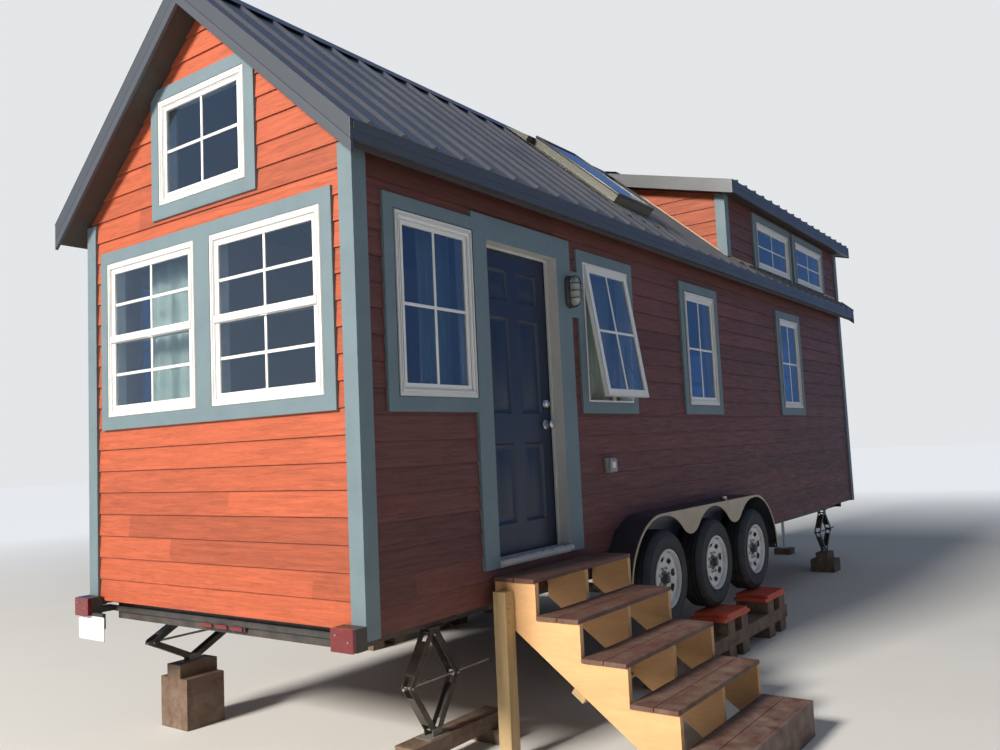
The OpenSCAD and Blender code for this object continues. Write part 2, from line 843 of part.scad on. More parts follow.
// Width of the stop that the closed leaf rests against
door_stop = 14;
module door_frame() {
  color("lightgray") seat() {
    difference() {
      span([door_start - jamb_depth, 0, floor_top - sill_drop],
        [door_end + jamb_depth, wall_depth, door_head + jamb_depth]);
      span([door_start, -over, sill_top], [door_end, wall_depth + over, door_head]);
      for (z = hinge_heights) translate([hinge_place[0], hinge_place[1], z])
        cylinder(r = hinge_radius + hinge_play, h = knuckle, center = true);
    }
    difference() {
      span([door_start - over, door_recess - door_stop - door_gap, sill_top],
        [door_end + over, door_recess - door_gap, door_head + over]);
      span([door_start + door_stop, 0, sill_top - over],
        [door_end - door_stop, wall_depth, door_head - door_stop]);
    }
    along_y(-casing_depth, 0) difference() {
      translate([door_casing_start, floor_top - sill_drop])
        square([door_casing_end - door_casing_start, door_head + door_casing_width - floor_top + sill_drop]);
      translate([door_start, sill_top - over]) square([door_width, door_height + over]);
    }
    span([door_start, -threshold_reach, floor_top], [door_end, over, sill_top]);
    for (z = hinge_heights) {
      for (side = [-1, 1]) translate([hinge_place[0], hinge_place[1], z + side * knuckle])
        cylinder(r = hinge_radius, h = knuckle - hinge_play, center = true);
      for (side = [-1, 1]) span([hinge_place[0] - hinge_leaf, wall_depth - over,
        z + side * knuckle - (knuckle - hinge_play) / 2],
        [hinge_place[0], wall_depth + hinge_plate, z + side * knuckle + (knuckle - hinge_play) / 2]);
      translate([hinge_place[0], hinge_place[1], z - 3 * knuckle / 2 + hinge_play])
        cylinder(r = hinge_pin, h = 3 * (knuckle - hinge_play));
    }
  }
}
// How far the frame reaches below the floor's surface
sill_drop = 18;
// How far the threshold stands out of the wall
threshold_reach = 60;

leaf_start = door_start + door_gap;
// Extra play at the latch edge, for the arc of the leaf's corner
latch_relief = 2;
leaf_end = door_end - door_gap - latch_relief;
leaf_bottom = sill_top + door_gap;
leaf_top = door_head - door_gap;
// Distance from the hinge pin to the leaf's inner face
hinge_offset = 8;
// Distance from the leaf's edge to the hinge pin
hinge_edge = 2.5;
hinge_place = [leaf_start - hinge_edge, door_recess + leaf_depth + hinge_offset];
// Hinges: radius and length of a knuckle, radius of the pin, play, and size of the plates
hinge_radius = 7;
knuckle = 30;
hinge_pin = 3.5;
hinge_play = 1;
hinge_leaf = 30;
hinge_plate = 3;
// Distance from the leaf's ends to the outer hinges
hinge_inset = 200;
hinge_heights = [leaf_bottom + hinge_inset, (leaf_bottom + leaf_top) / 2, leaf_top - hinge_inset];

module door_leaf() {
  inner = door_recess + leaf_depth;
  color("midnightblue") seat() {
    span([leaf_start, door_recess, leaf_bottom], [leaf_end, inner, leaf_top]);
    for (z = hinge_heights) difference() {
      union() {
        translate([hinge_place[0], hinge_place[1], z])
          cylinder(r = hinge_radius, h = knuckle - hinge_play, center = true);
        span([leaf_start, inner - over, z - (knuckle - hinge_play) / 2],
          [leaf_start + hinge_leaf, inner + hinge_plate, z + (knuckle - hinge_play) / 2]);
      }
      translate([hinge_place[0], hinge_place[1], z])
        cylinder(r = hinge_pin + shaft_gap, h = 2 * knuckle, center = true);
    }
  }
}

// Radius of the knob and the length of its neck
knob_radius = 28;
knob_neck = 30;
module knob(z) {
  for (side = [-1, 1]) translate([leaf_end - knob_backset, door_recess + leaf_depth / 2, z])
    rotate([side * 90, 0, 0]) rotate_extrude()
      polygon([[0, leaf_depth / 2], [knob_radius, leaf_depth / 2],
        [knob_radius, leaf_depth / 2 + knob_rose], [knob_radius / 2, leaf_depth / 2 + knob_rose],
        [knob_radius / 2, leaf_depth / 2 + knob_neck], [knob_radius, leaf_depth / 2 + knob_neck],
        [knob_radius, leaf_depth / 2 + 2 * knob_neck], [0, leaf_depth / 2 + 2 * knob_neck]]);
}
// Thickness of the knob's rose
knob_rose = 6;

module lock(z) {
  for (side = [-1, 1]) translate([leaf_end - knob_backset, door_recess + leaf_depth / 2, z])
    rotate([side * 90, 0, 0]) translate([0, 0, leaf_depth / 2])
      cylinder(r = knob_radius, h = 2 * knob_rose);
}

module door_hardware() {
  color("silver") seat() {
    knob(sill_top + knob_height);
    lock(sill_top + knob_height + lock_spacing);
  }
}

// Fittings on the wall

// The caged lamp: place along the wall, height, width, height over all and depth
lamp_place = 2100;
lamp_middle = 2906;
lamp_width = 112;
lamp_height = 236;
lamp_depth = 108;
module porch_light() {
  color("dimgray") seat() along_y(-casing_depth - lamp_depth, -casing_depth) {
    for (side = [-1, 1]) translate([lamp_place, lamp_middle + side * (lamp_height - lamp_width) / 2])
      circle(d = lamp_width);
    translate([lamp_place - lamp_width / 2, lamp_middle - (lamp_height - lamp_width) / 2])
      square([lamp_width, lamp_height - lamp_width]);
  }
}

// The outlet box: place, height and size
outlet_place = 2572;
outlet_middle = 1653;
outlet_size = 110;
outlet_depth = 62;
module outlet_box() {
  color("gray") seat()
    translate([outlet_place - outlet_size / 2, -outlet_depth, outlet_middle - outlet_size / 2])
      cube([outlet_size, outlet_depth, outlet_size]);
}

// Trailer

// Channel profile with its open side towards positive X of the drawing
module channel(width, height) {
  difference() {
    square([width, height]);
    translate([frame_plate, frame_plate]) square([width, height - 2 * frame_plate]);
  }
}

// Inset of the rear cross beam from the rear wall's face
beam_inset = 90;
module trailer_frame() {
  pitch = (house_length - 2 * beam_inset - cross_width) / (cross_count - 1);
  color("black") seat() {
    both() translate([0, rail_inset - rail_width / 2, 0]) along_x(wall_depth, house_length - wall_depth)
      translate([0, frame_low]) channel(rail_width, frame_height);
    for (i = [1:cross_count - 2]) along_y(wall_depth, house_width - wall_depth)
      translate([beam_inset + i * pitch, frame_low + cross_lift])
        channel(cross_width, frame_height - cross_lift);
    for (x = [beam_inset, house_length - wall_depth - frame_plate])
      along_y(wall_depth, house_width - wall_depth) translate([x, frame_low])
        square([wall_depth + frame_plate - beam_inset, end_wall_bottom - frame_low]);
    both() tongue_arm();
    jack_bracket(door_jack_place);
    far_side() jack_bracket(far_jack_place);
    both() jack_bracket(house_length - front_jack_inset);
    both() for (side = [-1, 1]) translate([fender_middle + side * fender_bracket_place, fender_depth,
      bracket_low]) cube([cross_width, rail_inset - fender_depth, bracket_height]);
  }
}
// Distance from the rails' underside to the cross members'
cross_lift = 41;
// Brackets that carry the fenders: distance from the fender's middle, and height
fender_bracket_place = 1200;
bracket_height = 34;
bracket_low = wall_bottom - board_hang - bracket_height;

// One side of the A-frame from the rail to the coupler
tongue_root = 900;
module tongue_arm() {
  start = [house_length - tongue_root, rail_inset];
  finish = [tongue_tip - coupler_length, half_width - rail_width / 2 - arm_gap];
  angle = atan2(finish[1] - start[1], finish[0] - start[0]);
  intersection() {
    translate([start[0], start[1], frame_low]) rotate([0, 0, angle])
      span([0, -rail_width / 2, -arm_drop], [norm(finish - start) + rail_width, rail_width / 2, arm_height]);
    span([start[0], 0, 0], [finish[0], half_width, frame_top]);
  }
}
// Gap between the two arms at the coupler, and their size against the rails
arm_gap = 8;
arm_drop = 2;
arm_height = 118;

// Coupler's length, width and height, and the radius of its ball socket
coupler_length = 260;
coupler_width = 150;
coupler_rise = 90;
ball_radius = 29.5;
module coupler() {
  color("black") seat() translate([tongue_tip, half_width, frame_low + (frame_height - cross_lift) / 2])
    difference() {
      translate([-coupler_length, -coupler_width / 2, -coupler_rise / 2])
        cube([coupler_length, coupler_width, coupler_rise]);
      translate([-coupler_width / 2, 0, -coupler_rise / 2 - over])
        cylinder(r = ball_radius, h = coupler_rise - coupler_wall + over);
    }
}

// Tongue jack: radius of its tube, its foot and its place behind the coupler
prop_radius = 32;
prop_inset = 420;
prop_height = 620;
tongue_foot = 120;
module tongue_jack() {
  color("gray") seat() translate([tongue_tip - prop_inset, half_width, 0]) {
    translate([0, 0, frame_low - prop_sleeve]) cylinder(r = prop_radius, h = prop_sleeve + prop_height);
    translate([0, 0, block_depth]) cylinder(r = prop_radius - frame_plate, h = frame_low - prop_sleeve);
    translate([-tongue_foot / 2, -tongue_foot / 2, block_depth])
      cube([tongue_foot, tongue_foot, frame_plate]);
    translate([-tongue_foot / 2, -tongue_plate / 2, frame_low + arm_height])
      cube([tongue_foot, tongue_plate, frame_plate]);
    translate([0, 0, frame_low + prop_height - crank_radius * 3]) rotate([-90, 0, 0])
      cylinder(r = crank_radius, h = crank_reach);
    translate([0, crank_reach - 2 * crank_radius, frame_low + prop_height - crank_radius * 4])
      cylinder(r = crank_radius, h = crank_reach);
  }
}
// Length of the jack's outer tube under the frame, width of its plate, and size of its crank
prop_sleeve = 260;
tongue_plate = 330;
crank_radius = 9;
crank_reach = 170;

spindle_radius = bore_radius - shaft_gap;
function axle_place(i) = middle_wheel + (i - 1) * axle_spacing;
// Radius of the axle tube, and how far it hangs below the spindles
axle_radius = 38;
axle_drop = 102;
// Width of the crank between tube and spindle
crank_width = 70;
// Height of the saddle that clamps a spring to its axle
saddle_height = 12;
// Leaf springs: radius of their bend, thickness, width and half length
spring_depth = 22;
spring_width = 60;
spring_half = 330;
spring_bend = 1500;
module axles() {
  color("black") seat() {
    for (i = [0:2]) translate([axle_place(i), 0, axle_height]) {
      rotate([-90, 0, 0]) translate([0, axle_drop, axle_shoulder])
        cylinder(r = axle_radius, h = house_width - 2 * axle_shoulder);
    }
    both() for (i = [0:2]) translate([axle_place(i), 0, axle_height]) {
      rotate([-90, 0, 0]) translate([0, 0, -wheel_reach + hub_end])
        cylinder(r = spindle_radius, h = wheel_reach - hub_end + axle_shoulder + over);
      translate([-crank_width / 2, axle_shoulder, -axle_drop])
        cube([crank_width, crank_width, axle_drop + crank_width / 2 - over]);
      translate([0, rail_inset - spring_width / 2, 0]) spring();
    }
  }
}

// One leaf spring over the axle tube, with a hanger at each end
module spring() {
  base = axle_radius - axle_drop;
  hanger_top = frame_low - axle_height;
  along_y(0, spring_width) {
    intersection() {
      translate([0, base + spring_bend]) difference() {
        circle(r = spring_bend, $fn = 360);
        circle(r = spring_bend - spring_depth, $fn = 360);
      }
      translate([-spring_half, base - spring_depth])
        square([2 * spring_half, hanger_top - base + spring_depth]);
    }
    translate([-spring_width, base - axle_radius])
      square([2 * spring_width, axle_radius + spring_depth + saddle_height]);
    for (side = [-1, 1])
      translate([side * (spring_half - spring_depth) - spring_depth / 2, base + spring_depth])
        square([spring_depth, hanger_top - base - spring_depth]);
  }
}
// Start of the thick axle tube, and depth of the hub's closed end
axle_shoulder = 60;
hub_end = 60;

// Radii and depths of the wheel's dish and hub
hub_radius = 62;
disc_depth = 12;
disc_recess = 40;
module wheel(i) {
  translate([axle_place(i), -wheel_reach, axle_height]) rotate([-90, 0, 0]) {
    difference() {
      union() {
        rotate_extrude($fn = 96)
          polygon([[rim_radius - disc_depth, 0], [tyre_radius - tyre_shoulder, 0],
            [tyre_radius, tyre_shoulder], [tyre_radius, tyre_width - tyre_shoulder],
            [tyre_radius - tyre_shoulder, tyre_width], [rim_radius - disc_depth, tyre_width]]);
        translate([0, 0, disc_recess]) cylinder(r = rim_radius, h = disc_depth);
        cylinder(r = hub_radius, h = wheel_hub_length);
      }
      translate([0, 0, hub_end - bore_radius])
        cylinder(r = bore_radius, h = tyre_width + wheel_hub_length);
    }
  }
}
tyre_shoulder = 30;
// Length of the hub behind the wheel's outer side
wheel_hub_length = 190;

module door_wheel_rear() { color("black") seat() wheel(0); }
module door_wheel_middle() { color("black") seat() wheel(1); }
module door_wheel_front() { color("black") seat() wheel(2); }
module far_wheel_rear() { color("black") seat() far_side() wheel(0); }
module far_wheel_middle() { color("black") seat() far_side() wheel(1); }
module far_wheel_front() { color("black") seat() far_side() wheel(2); }

// Fenders

fender_middle = middle_wheel - fender_setback;
// Room between a tyre's inner side and the fender, and how far the fender reaches into the wall
wheel_room = 15;
fender_depth = tyre_width - wheel_reach + wheel_room + fender_plate;
module fender_outline(inset) {
  middle = fender_half - fender_radius;
  difference() {
    union() {
      for (side = [-1, 1]) translate([fender_middle + side * middle, fender_top - fender_radius])
        circle(r = fender_radius - inset, $fn = 128);
      translate([fender_middle - middle, fender_top - fender_radius])
        square([2 * middle, fender_radius - inset]);
    }
    translate([fender_middle - 2 * fender_half, fender_bottom - 2 * fender_radius])
      square([4 * fender_half, 2 * fender_radius]);
  }
}

module fenders() {
  color("black") seat() both() {
    along_y(-fender_reach + fender_plate, fender_depth) difference() {
      fender_outline(0);
      fender_outline(fender_plate);
      translate([fender_middle - fender_half + 2 * fender_plate, 0])
        square([2 * (fender_half - 2 * fender_plate), fender_bottom + over]);
    }
    along_y(fender_depth - fender_plate, fender_depth) difference() {
      fender_outline(fender_plate / 2);
      translate([0, 0]) square([house_length, bracket_low]);
    }
  }
}

// Edge of the skirt's curtains: an arch over each wheel and a rounded scallop between two
scallop_half = axle_spacing / 2;
arch_radius = fender_top - fender_rim - axle_height;
arch_fall = scallop_bottom - axle_height;
scallop_radius = (arch_radius ^ 2 - arch_fall ^ 2 - scallop_half ^ 2) / (2 * (arch_fall - arch_radius));
scallop_height = arch_fall + scallop_radius;
arch_share = arch_radius / (arch_radius + scallop_radius);
arch_half = scallop_half * arch_share;
// Points on each side of an arch or scallop
scallop_steps = 7;
function curtain_edge(d) = axle_height + (d < arch_half ? sqrt(arch_radius ^ 2 - d ^ 2)
  : scallop_height - sqrt(scallop_radius ^ 2 - (scallop_half - d) ^ 2));
curtain_half = [for (i = [0:2 * scallop_steps]) i * scallop_half / (2 * scallop_steps)];

module curtain() {
  polygon(concat([for (d = curtain_half) [d, curtain_edge(d)]],
    [for (i = [1:2 * scallop_steps]) let (d = scallop_half - curtain_half[i])
      [axle_spacing - d, curtain_edge(d)]],
    [[axle_spacing, fender_top - fender_rim / 2], [0, fender_top - fender_rim / 2]]));
}

module fender_skirts() {
  color("darkkhaki") seat() both() along_y(-fender_reach, -fender_reach + fender_plate) {
    difference() {
      fender_outline(0);
      fender_outline(fender_rim);
      translate([fender_middle - fender_half + 2 * fender_rim, 0])
        square([2 * (fender_half - 2 * fender_rim), fender_bottom + over]);
    }
    for (i = [-1, 0]) translate([fender_middle + i * axle_spacing, 0]) curtain();
  }
}

// Lights

// Tail lights: middle along Y from the side wall, size, height of their underside
tail_inset = 47;
tail_width = 160;
tail_height = 116;
tail_bottom = 846;
tail_depth = 102;
lens_depth = 26;
// Bar of small lights on the rear cross beam
bar_length = 430;
bar_height = 26;
bar_depth = 20;
module light_housings() {
  color("black") seat() {
    both() span([-tail_depth, tail_inset - tail_width / 2, tail_bottom],
      [-casing_depth, tail_inset + tail_width / 2, tail_bottom + tail_height]);
    both() span([-casing_depth - over, tail_inset - tail_width / 4, bracket_low],
      [beam_inset, tail_inset + tail_width / 4, bracket_low + bracket_height]);
    span([beam_inset - bar_depth, tail_inset, bracket_low],
      [beam_inset, house_width - tail_inset, bracket_low + bracket_height]);
    span([beam_inset - bar_depth, half_width - bar_length / 2, bracket_low - bar_height],
      [beam_inset, half_width + bar_length / 2, bracket_low + over]);
    span([plate_place, plate_start + plate_border, tail_bottom - plate_height / 2],
      [plate_place + plate_border, plate_start + plate_width - plate_border, tail_bottom + plate_border]);
  }
}

module light_lenses() {
  color("red") seat() {
    both() span([-tail_depth - lens_depth, tail_inset - tail_width / 2, tail_bottom],
      [-tail_depth, tail_inset + tail_width / 2, tail_bottom + tail_height]);
    for (i = [-1:1]) translate([beam_inset - bar_depth - bar_depth / 2,
      half_width + i * bar_length / 3 - bar_length / 8, bracket_low - bar_height])
      cube([bar_depth / 2, bar_length / 4, bar_height]);
  }
}

plate_width = 305;
plate_height = 152;
plate_depth = 3;
plate_border = 20;
plate_start = house_width + casing_depth - plate_width;
plate_place = -tail_depth + plate_depth;
module number_plate() {
  color("white") seat() translate([plate_place - plate_depth, plate_start, tail_bottom - plate_height])
    cube([plate_depth, plate_width, plate_height]);
}

// Blocks

crib_top = axle_height - tyre_radius - seat_gap - 2 * pad_depth;
wheel_middle = -wheel_reach + tyre_width / 2;
// How far the pads are centred behind their wheel, and length of the upper pad against the lower
pad_setback = 100;
pad_step = 60;
module leveller_pads() {
  color("orangered") seat() both() for (i = [0:2])
    translate([axle_place(i) - pad_setback - pad_length / 2, -pad_reach, crib_top]) {
      cube([pad_length, pad_width, pad_depth]);
      translate([pad_step, 0, 0]) cube([pad_length - 2 * pad_step, pad_width, 2 * pad_depth]);
    }
}

// Layers of timber under the wheels, each laid across the one below
crib_layer = crib_top / 3;
// Length of the reddish timber under the jack on the door side, and how far it starts behind the jack
long_timber = 860;
long_timber_start = 250;
module timber_blocks() {
  color("saddlebrown") seat() {
    both() {
      for (side = [-1, 1]) translate([axle_place(0) - pad_setback - pad_length / 2,
        -pad_reach + (side + 1) / 2 * (pad_width - sleeper_width + over), crib_layer])
        cube([2 * axle_spacing + pad_length, sleeper_width - over, crib_layer]);
      for (i = [0:2], side = [-1, 1])
        translate([axle_place(i) - pad_setback + (side - 1 / 2) * sleeper_width, -pad_reach, 0]) {
        cube([sleeper_width, pad_width, crib_layer]);
        translate([0, 0, 2 * crib_layer]) cube([sleeper_width, pad_width, crib_layer]);
      }
      timber_pile(house_length - front_jack_inset, front_jack_seat, 2 * sleeper_width, sleeper_width);
    }
    timber_pile(door_jack_place, door_jack_seat, long_timber, long_timber_start);
    far_side() timber_pile(far_jack_place, far_jack_seat, 2 * sleeper_width, sleeper_width);
    translate([tongue_tip - prop_inset - tongue_foot, half_width - tongue_foot, 0])
      cube([2 * tongue_foot, 2 * tongue_foot, block_depth]);
  }
}

// A timber along the house under a jack, on short ones that lie across it
module timber_pile(x, seat_height, timber, start) {
  translate([x - start, rail_inset - sleeper_width / 2, seat_height - block_depth])
    cube([timber, sleeper_width, block_depth]);
  for (side = [0, 1]) translate([x - start + side * (timber - sleeper_width), rail_inset - sleeper_width, 0])
    cube([sleeper_width, 2 * sleeper_width, seat_height - block_depth]);
}

// Stairs

module stairs_frame() {
  translate([stair_start, -casing_depth, 0]) children();
}

// Stringer drawn with X away from the house and Y up
function notch(i) = stair_top - tread_depth - i * stair_rise;
stair_pitch = stair_rise / tread_run;
// Gap between the stairs and the boards on the wall
stair_gap = 2;
module stringer_outline() {
  foot_rear = (notch(0) - stringer_throat) / stair_pitch;
  polygon(concat(
    [[stair_gap, notch(0) - stringer_throat - stair_gap * stair_pitch], [stair_gap, notch(0)]],
    [for (i = [0:tread_count - 1], p = [0, 1]) [(i + 1) * tread_run, notch(i + p)]],
    [[stair_reach, 0], [foot_rear, 0]]));
}
stringer_places = [stringer_inset, (stair_width - stringer_width) / 2,
  stair_width - stringer_inset - stringer_width];

module stair_stringers() {
  color("peru") seat() stairs_frame() {
    for (x = stringer_places) translate([x, 0, 0]) rotate([90, 0, -90]) mirror([1, 0, 0])
      translate([0, 0, -stringer_width]) linear_extrude(stringer_width)
        intersection() {
          mirror([1, 0, 0]) stringer_outline();
          translate([-stair_reach, 0]) square([stair_reach, stair_top]);
        }
  }
}

module stair_treads() {
  color("rosybrown") seat() stairs_frame() {
    for (i = [0:tread_count - 1], j = [0, 1])
      let (back = (i == 0 && j == 0) ? stair_gap : i * tread_run + j * (tread_board + tread_gap) + tread_gap,
        front = i * tread_run + j * (tread_board + tread_gap) + tread_board + tread_gap)
        translate([0, -front, notch(i)]) cube([stair_width, front - back, tread_depth]);
    translate([0, -stair_reach - riser_board, 0])
      cube([stair_width, riser_board, notch(tread_count - 1) + tread_depth]);
  }
}

// Distance from the wall to the post, and to the cleat under the stringers
post_gap = 47;
cleat_distance = 560;
cleat_width = 89;
module stair_post() {
  color("khaki") seat() stairs_frame() {
    translate([stringer_inset - post_width, -post_gap - post_width, 0])
      cube([post_width, post_width, post_height]);
    translate([stringer_inset, -cleat_distance, notch(0) - stringer_throat - cleat_distance * stair_pitch])
      rotate([atan(stair_pitch), 0, 0]) translate([0, -cleat_width / 2, -stringer_width])
        cube([stair_width - 2 * stringer_inset, cleat_width, stringer_width]);
  }
}

// Scissor jacks
// Each jack is drawn with its top pivots at Z = 0, in X and Z, and its width along Y.

// Play between neighbouring plates of a jack
jack_play = 1.5;
inner_half = arm_width_half - jack_plate - jack_play;
cheek_half = arm_width_half + jack_play;
// Angle of the arms above the level, for a jack whose block is of the given height
function jack_angle(block) = asin((frame_low - block - 2 * pivot_drop) / (2 * jack_arm));
// Distance from a vertex's pin to where an arm's web starts
jack_web_stop = 60;

// One arm from its pin at the origin, lying towards positive X; the web is on the side given by up
module jack_arm_shape(outer, up, pin_end, far_end) {
  difference() {
    union() {
      for (side = [-1, 1]) translate([0, side * outer - (side > 0 ? jack_plate : 0), 0])
        rotate([-90, 0, 0]) {
          cylinder(r = jack_arm_half, h = jack_plate);
          translate([jack_arm, 0, 0]) cylinder(r = jack_arm_half, h = jack_plate);
          translate([0, -jack_arm_half, 0]) cube([jack_arm, 2 * jack_arm_half, jack_plate]);
        }
      translate([jack_web_stop, -outer, up > 0 ? jack_arm_half - jack_plate : -jack_arm_half])
        cube([jack_arm - 2 * jack_web_stop, 2 * outer, jack_plate]);
    }
    rotate([-90, 0, 0]) cylinder(r = pin_end + shaft_gap, h = 4 * outer, center = true);
    translate([jack_arm, 0, 0]) rotate([-90, 0, 0])
      cylinder(r = far_end + shaft_gap, h = 4 * outer, center = true);
  }
}

// Puts a jack's drawing under the rail: place along the house and which side
module jack_place(x) {
  translate([x, rail_inset, frame_low - pivot_drop]) children();
}

module jack_upper_a(angle) {
  translate([-pivot_half, 0, 0]) rotate([0, 180 - angle, 0])
    jack_arm_shape(arm_width_half, -1, jack_pin, screw_radius);
}

module jack_upper_b(angle) {
  mirror([1, 0, 0]) jack_upper_a(angle);
}

module jack_lower_a(angle) {
  translate([-pivot_half, 0, -2 * jack_arm * sin(angle)]) rotate([0, 180 + angle, 0])
    jack_arm_shape(inner_half, 1, jack_pin, screw_radius);
}

module jack_lower_b(angle) {
  mirror([1, 0, 0]) jack_lower_a(angle);
}

// Plate with two cheeks and two pins; facing 1 opens upwards
module jack_shoe(facing, half, cheek, plate_length, plate_width) {
  mirror([0, 0, facing > 0 ? 0 : 1]) {
    translate([-plate_length / 2, -plate_width / 2, -pivot_drop])
      cube([plate_length, plate_width, jack_plate]);
    for (side = [-1, 1]) translate([-pivot_half - jack_arm_half, side * cheek - (side > 0 ? 0 : jack_plate),
      -pivot_drop]) cube([2 * (pivot_half + jack_arm_half), jack_plate, pivot_drop + 2 * jack_pin]);
    for (side = [-1, 1]) translate([side * pivot_half, 0, 0]) rotate([-90, 0, 0])
      cylinder(r = jack_pin, h = 2 * cheek + jack_plate, center = true);
  }
}

module jack_bracket(x) {
  jack_place(x) jack_shoe(-1, arm_width_half, cheek_half, bracket_length, bracket_width);
}
bracket_length = 150;
bracket_width = 110;
base_length = 190;
base_width = 120;
base_cheek = inner_half + jack_play;

module jack_base(angle) {
  translate([0, 0, -2 * jack_arm * sin(angle)])
    jack_shoe(1, inner_half, base_cheek, base_length, base_width);
}

// From the jack's middle to a vertex
function jack_half(angle) = pivot_half + jack_arm * cos(angle);
screw_tail = 40;
screw_length = 2 * (pivot_half + jack_arm) + screw_tail;
module jack_screw(angle) {
  translate([-jack_half(angle), 0, -jack_arm * sin(angle)]) {
    rotate([0, 90, 0]) translate([0, 0, -screw_tail])
      cylinder(r = screw_radius, h = screw_length + screw_tail);
    rotate([-90, 0, 0]) cylinder(r = screw_radius, h = 2 * (arm_width_half + jack_plate), center = true);
  }
}

module jack_nut(angle) {
  translate([jack_half(angle), 0, -jack_arm * sin(angle)]) difference() {
    union() {
      rotate([-90, 0, 0]) cylinder(r = screw_radius, h = 2 * (arm_width_half + jack_plate), center = true);
      cube([nut_size, 2 * (inner_half - jack_plate - jack_play), nut_size], center = true);
    }
    rotate([0, 90, 0]) cylinder(r = screw_radius + shaft_gap, h = 2 * nut_size, center = true);
  }
}
nut_size = 32;

door_angle = jack_angle(door_jack_seat);
far_angle = jack_angle(far_jack_seat);
front_angle = jack_angle(front_jack_seat);
module door_jack(paint) { color(paint) seat() jack_place(door_jack_place) children(); }
module far_jack(paint) { color(paint) seat() far_side() jack_place(far_jack_place) children(); }
module door_jack_arm_a() { door_jack("black") jack_upper_a(door_angle); }
module door_jack_arm_b() { door_jack("black") jack_upper_b(door_angle); }
module door_jack_arm_c() { door_jack("black") jack_lower_a(door_angle); }
module door_jack_arm_d() { door_jack("black") jack_lower_b(door_angle); }
module door_jack_base() { door_jack("black") jack_base(door_angle); }
module door_jack_screw() { door_jack("gray") jack_screw(door_angle); }
module door_jack_nut() { door_jack("gray") jack_nut(door_angle); }
module far_jack_arm_a() { far_jack("black") jack_upper_a(far_angle); }
module far_jack_arm_b() { far_jack("black") jack_upper_b(far_angle); }
module far_jack_arm_c() { far_jack("black") jack_lower_a(far_angle); }
module far_jack_arm_d() { far_jack("black") jack_lower_b(far_angle); }
module far_jack_base() { far_jack("black") jack_base(far_angle); }
module far_jack_screw() { far_jack("gray") jack_screw(far_angle); }
module far_jack_nut() { far_jack("gray") jack_nut(far_angle); }

module front_jacks() {
  color("black") seat() both() jack_place(house_length - front_jack_inset) {
    jack_upper_a(front_angle);
    jack_upper_b(front_angle);
    jack_lower_a(front_angle);
    jack_lower_b(front_angle);
    jack_base(front_angle);
    jack_screw(front_angle);
    jack_nut(front_angle);
  }
}

trailer_frame();
coupler();
tongue_jack();
axles();
fenders();
fender_skirts();
light_housings();
light_lenses();
number_plate();
leveller_pads();
timber_blocks();
front_jacks();
floor();
rear_wall();
front_wall();
door_wall_rear();
door_wall_middle();
door_wall_front();
far_wall();
dormer_walls();
roof_deck();
dormer_deck();
roof_sheets();
ridge_cap();
rake_boards();
eave_boards();
corner_boards();
window_casings();
window_frames();
window_panes();
awning_sash();
skylight_curb();
door_frame();
porch_light();
outlet_box();
stair_stringers();
stair_treads();
stair_post();
door_leaf();
door_hardware();
door_wheel_rear();
door_wheel_middle();
door_wheel_front();
far_wheel_rear();
far_wheel_middle();
far_wheel_front();
door_jack_arm_a();
door_jack_arm_b();
door_jack_arm_c();
door_jack_arm_d();
door_jack_base();
door_jack_screw();
door_jack_nut();
far_jack_arm_a();
far_jack_arm_b();
far_jack_arm_c();
far_jack_arm_d();
far_jack_base();
far_jack_screw();
far_jack_nut();
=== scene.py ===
"""A tiny house on a triple-axle trailer: boards, windows, wheels and finishes over its solids."""

import math

import bmesh
import bpy
from bpy.props import FloatProperty, FloatVectorProperty, IntProperty, PointerProperty
from mathutils import Matrix, Vector


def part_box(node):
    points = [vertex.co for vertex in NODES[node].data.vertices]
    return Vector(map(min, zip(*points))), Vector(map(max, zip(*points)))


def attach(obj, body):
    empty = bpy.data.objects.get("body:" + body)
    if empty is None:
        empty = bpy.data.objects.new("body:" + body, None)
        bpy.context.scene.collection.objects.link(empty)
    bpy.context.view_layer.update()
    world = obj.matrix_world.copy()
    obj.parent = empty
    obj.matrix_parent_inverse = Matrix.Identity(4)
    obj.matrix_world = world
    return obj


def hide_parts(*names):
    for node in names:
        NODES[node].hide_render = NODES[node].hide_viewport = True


bl_info = {
    "name": "Tiny House on Wheels",
    "version": (1, 0, 0),
    "blender": (4, 5, 0),
    "location": "View3D > Sidebar > Tiny House",
    "description": "Lap siding, windows, wheels and finishes of a tiny house on a trailer",
    "category": "Object",
}

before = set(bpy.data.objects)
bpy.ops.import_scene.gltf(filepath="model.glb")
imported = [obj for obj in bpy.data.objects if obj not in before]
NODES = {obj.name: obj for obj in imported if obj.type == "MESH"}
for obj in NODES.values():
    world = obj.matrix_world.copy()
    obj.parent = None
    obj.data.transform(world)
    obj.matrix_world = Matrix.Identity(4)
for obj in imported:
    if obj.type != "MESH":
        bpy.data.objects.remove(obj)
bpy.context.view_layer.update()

# The rear corner of the door-side wall, from which every place along the house is measured, in metres
CORNER = Vector((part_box("rear_wall")[0].x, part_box("rear_wall")[0].y, 0.0))
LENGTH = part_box("front_wall")[1].x - CORNER.x
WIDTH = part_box("rear_wall")[1].y - CORNER.y
HALF = WIDTH / 2
SIDE_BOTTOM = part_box("far_wall")[0].z
END_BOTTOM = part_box("rear_wall")[0].z
# How far casings stand out of the walls, their width, and where lap boards start beside a corner board
CASING = 0.028
CASING_WIDTH = 0.086
CORNER_IN = 0.076

# The roof's planes: height of the deck's edge, its overhangs and its slopes
EAVE = 3.519
RIDGE = 4.775
EAVE_OUT = 0.154
RAKE_OUT = 0.156
EDGE = 0.022
DORMER = 5.300
DORMER_EDGE = 4.398
DECK = 0.120
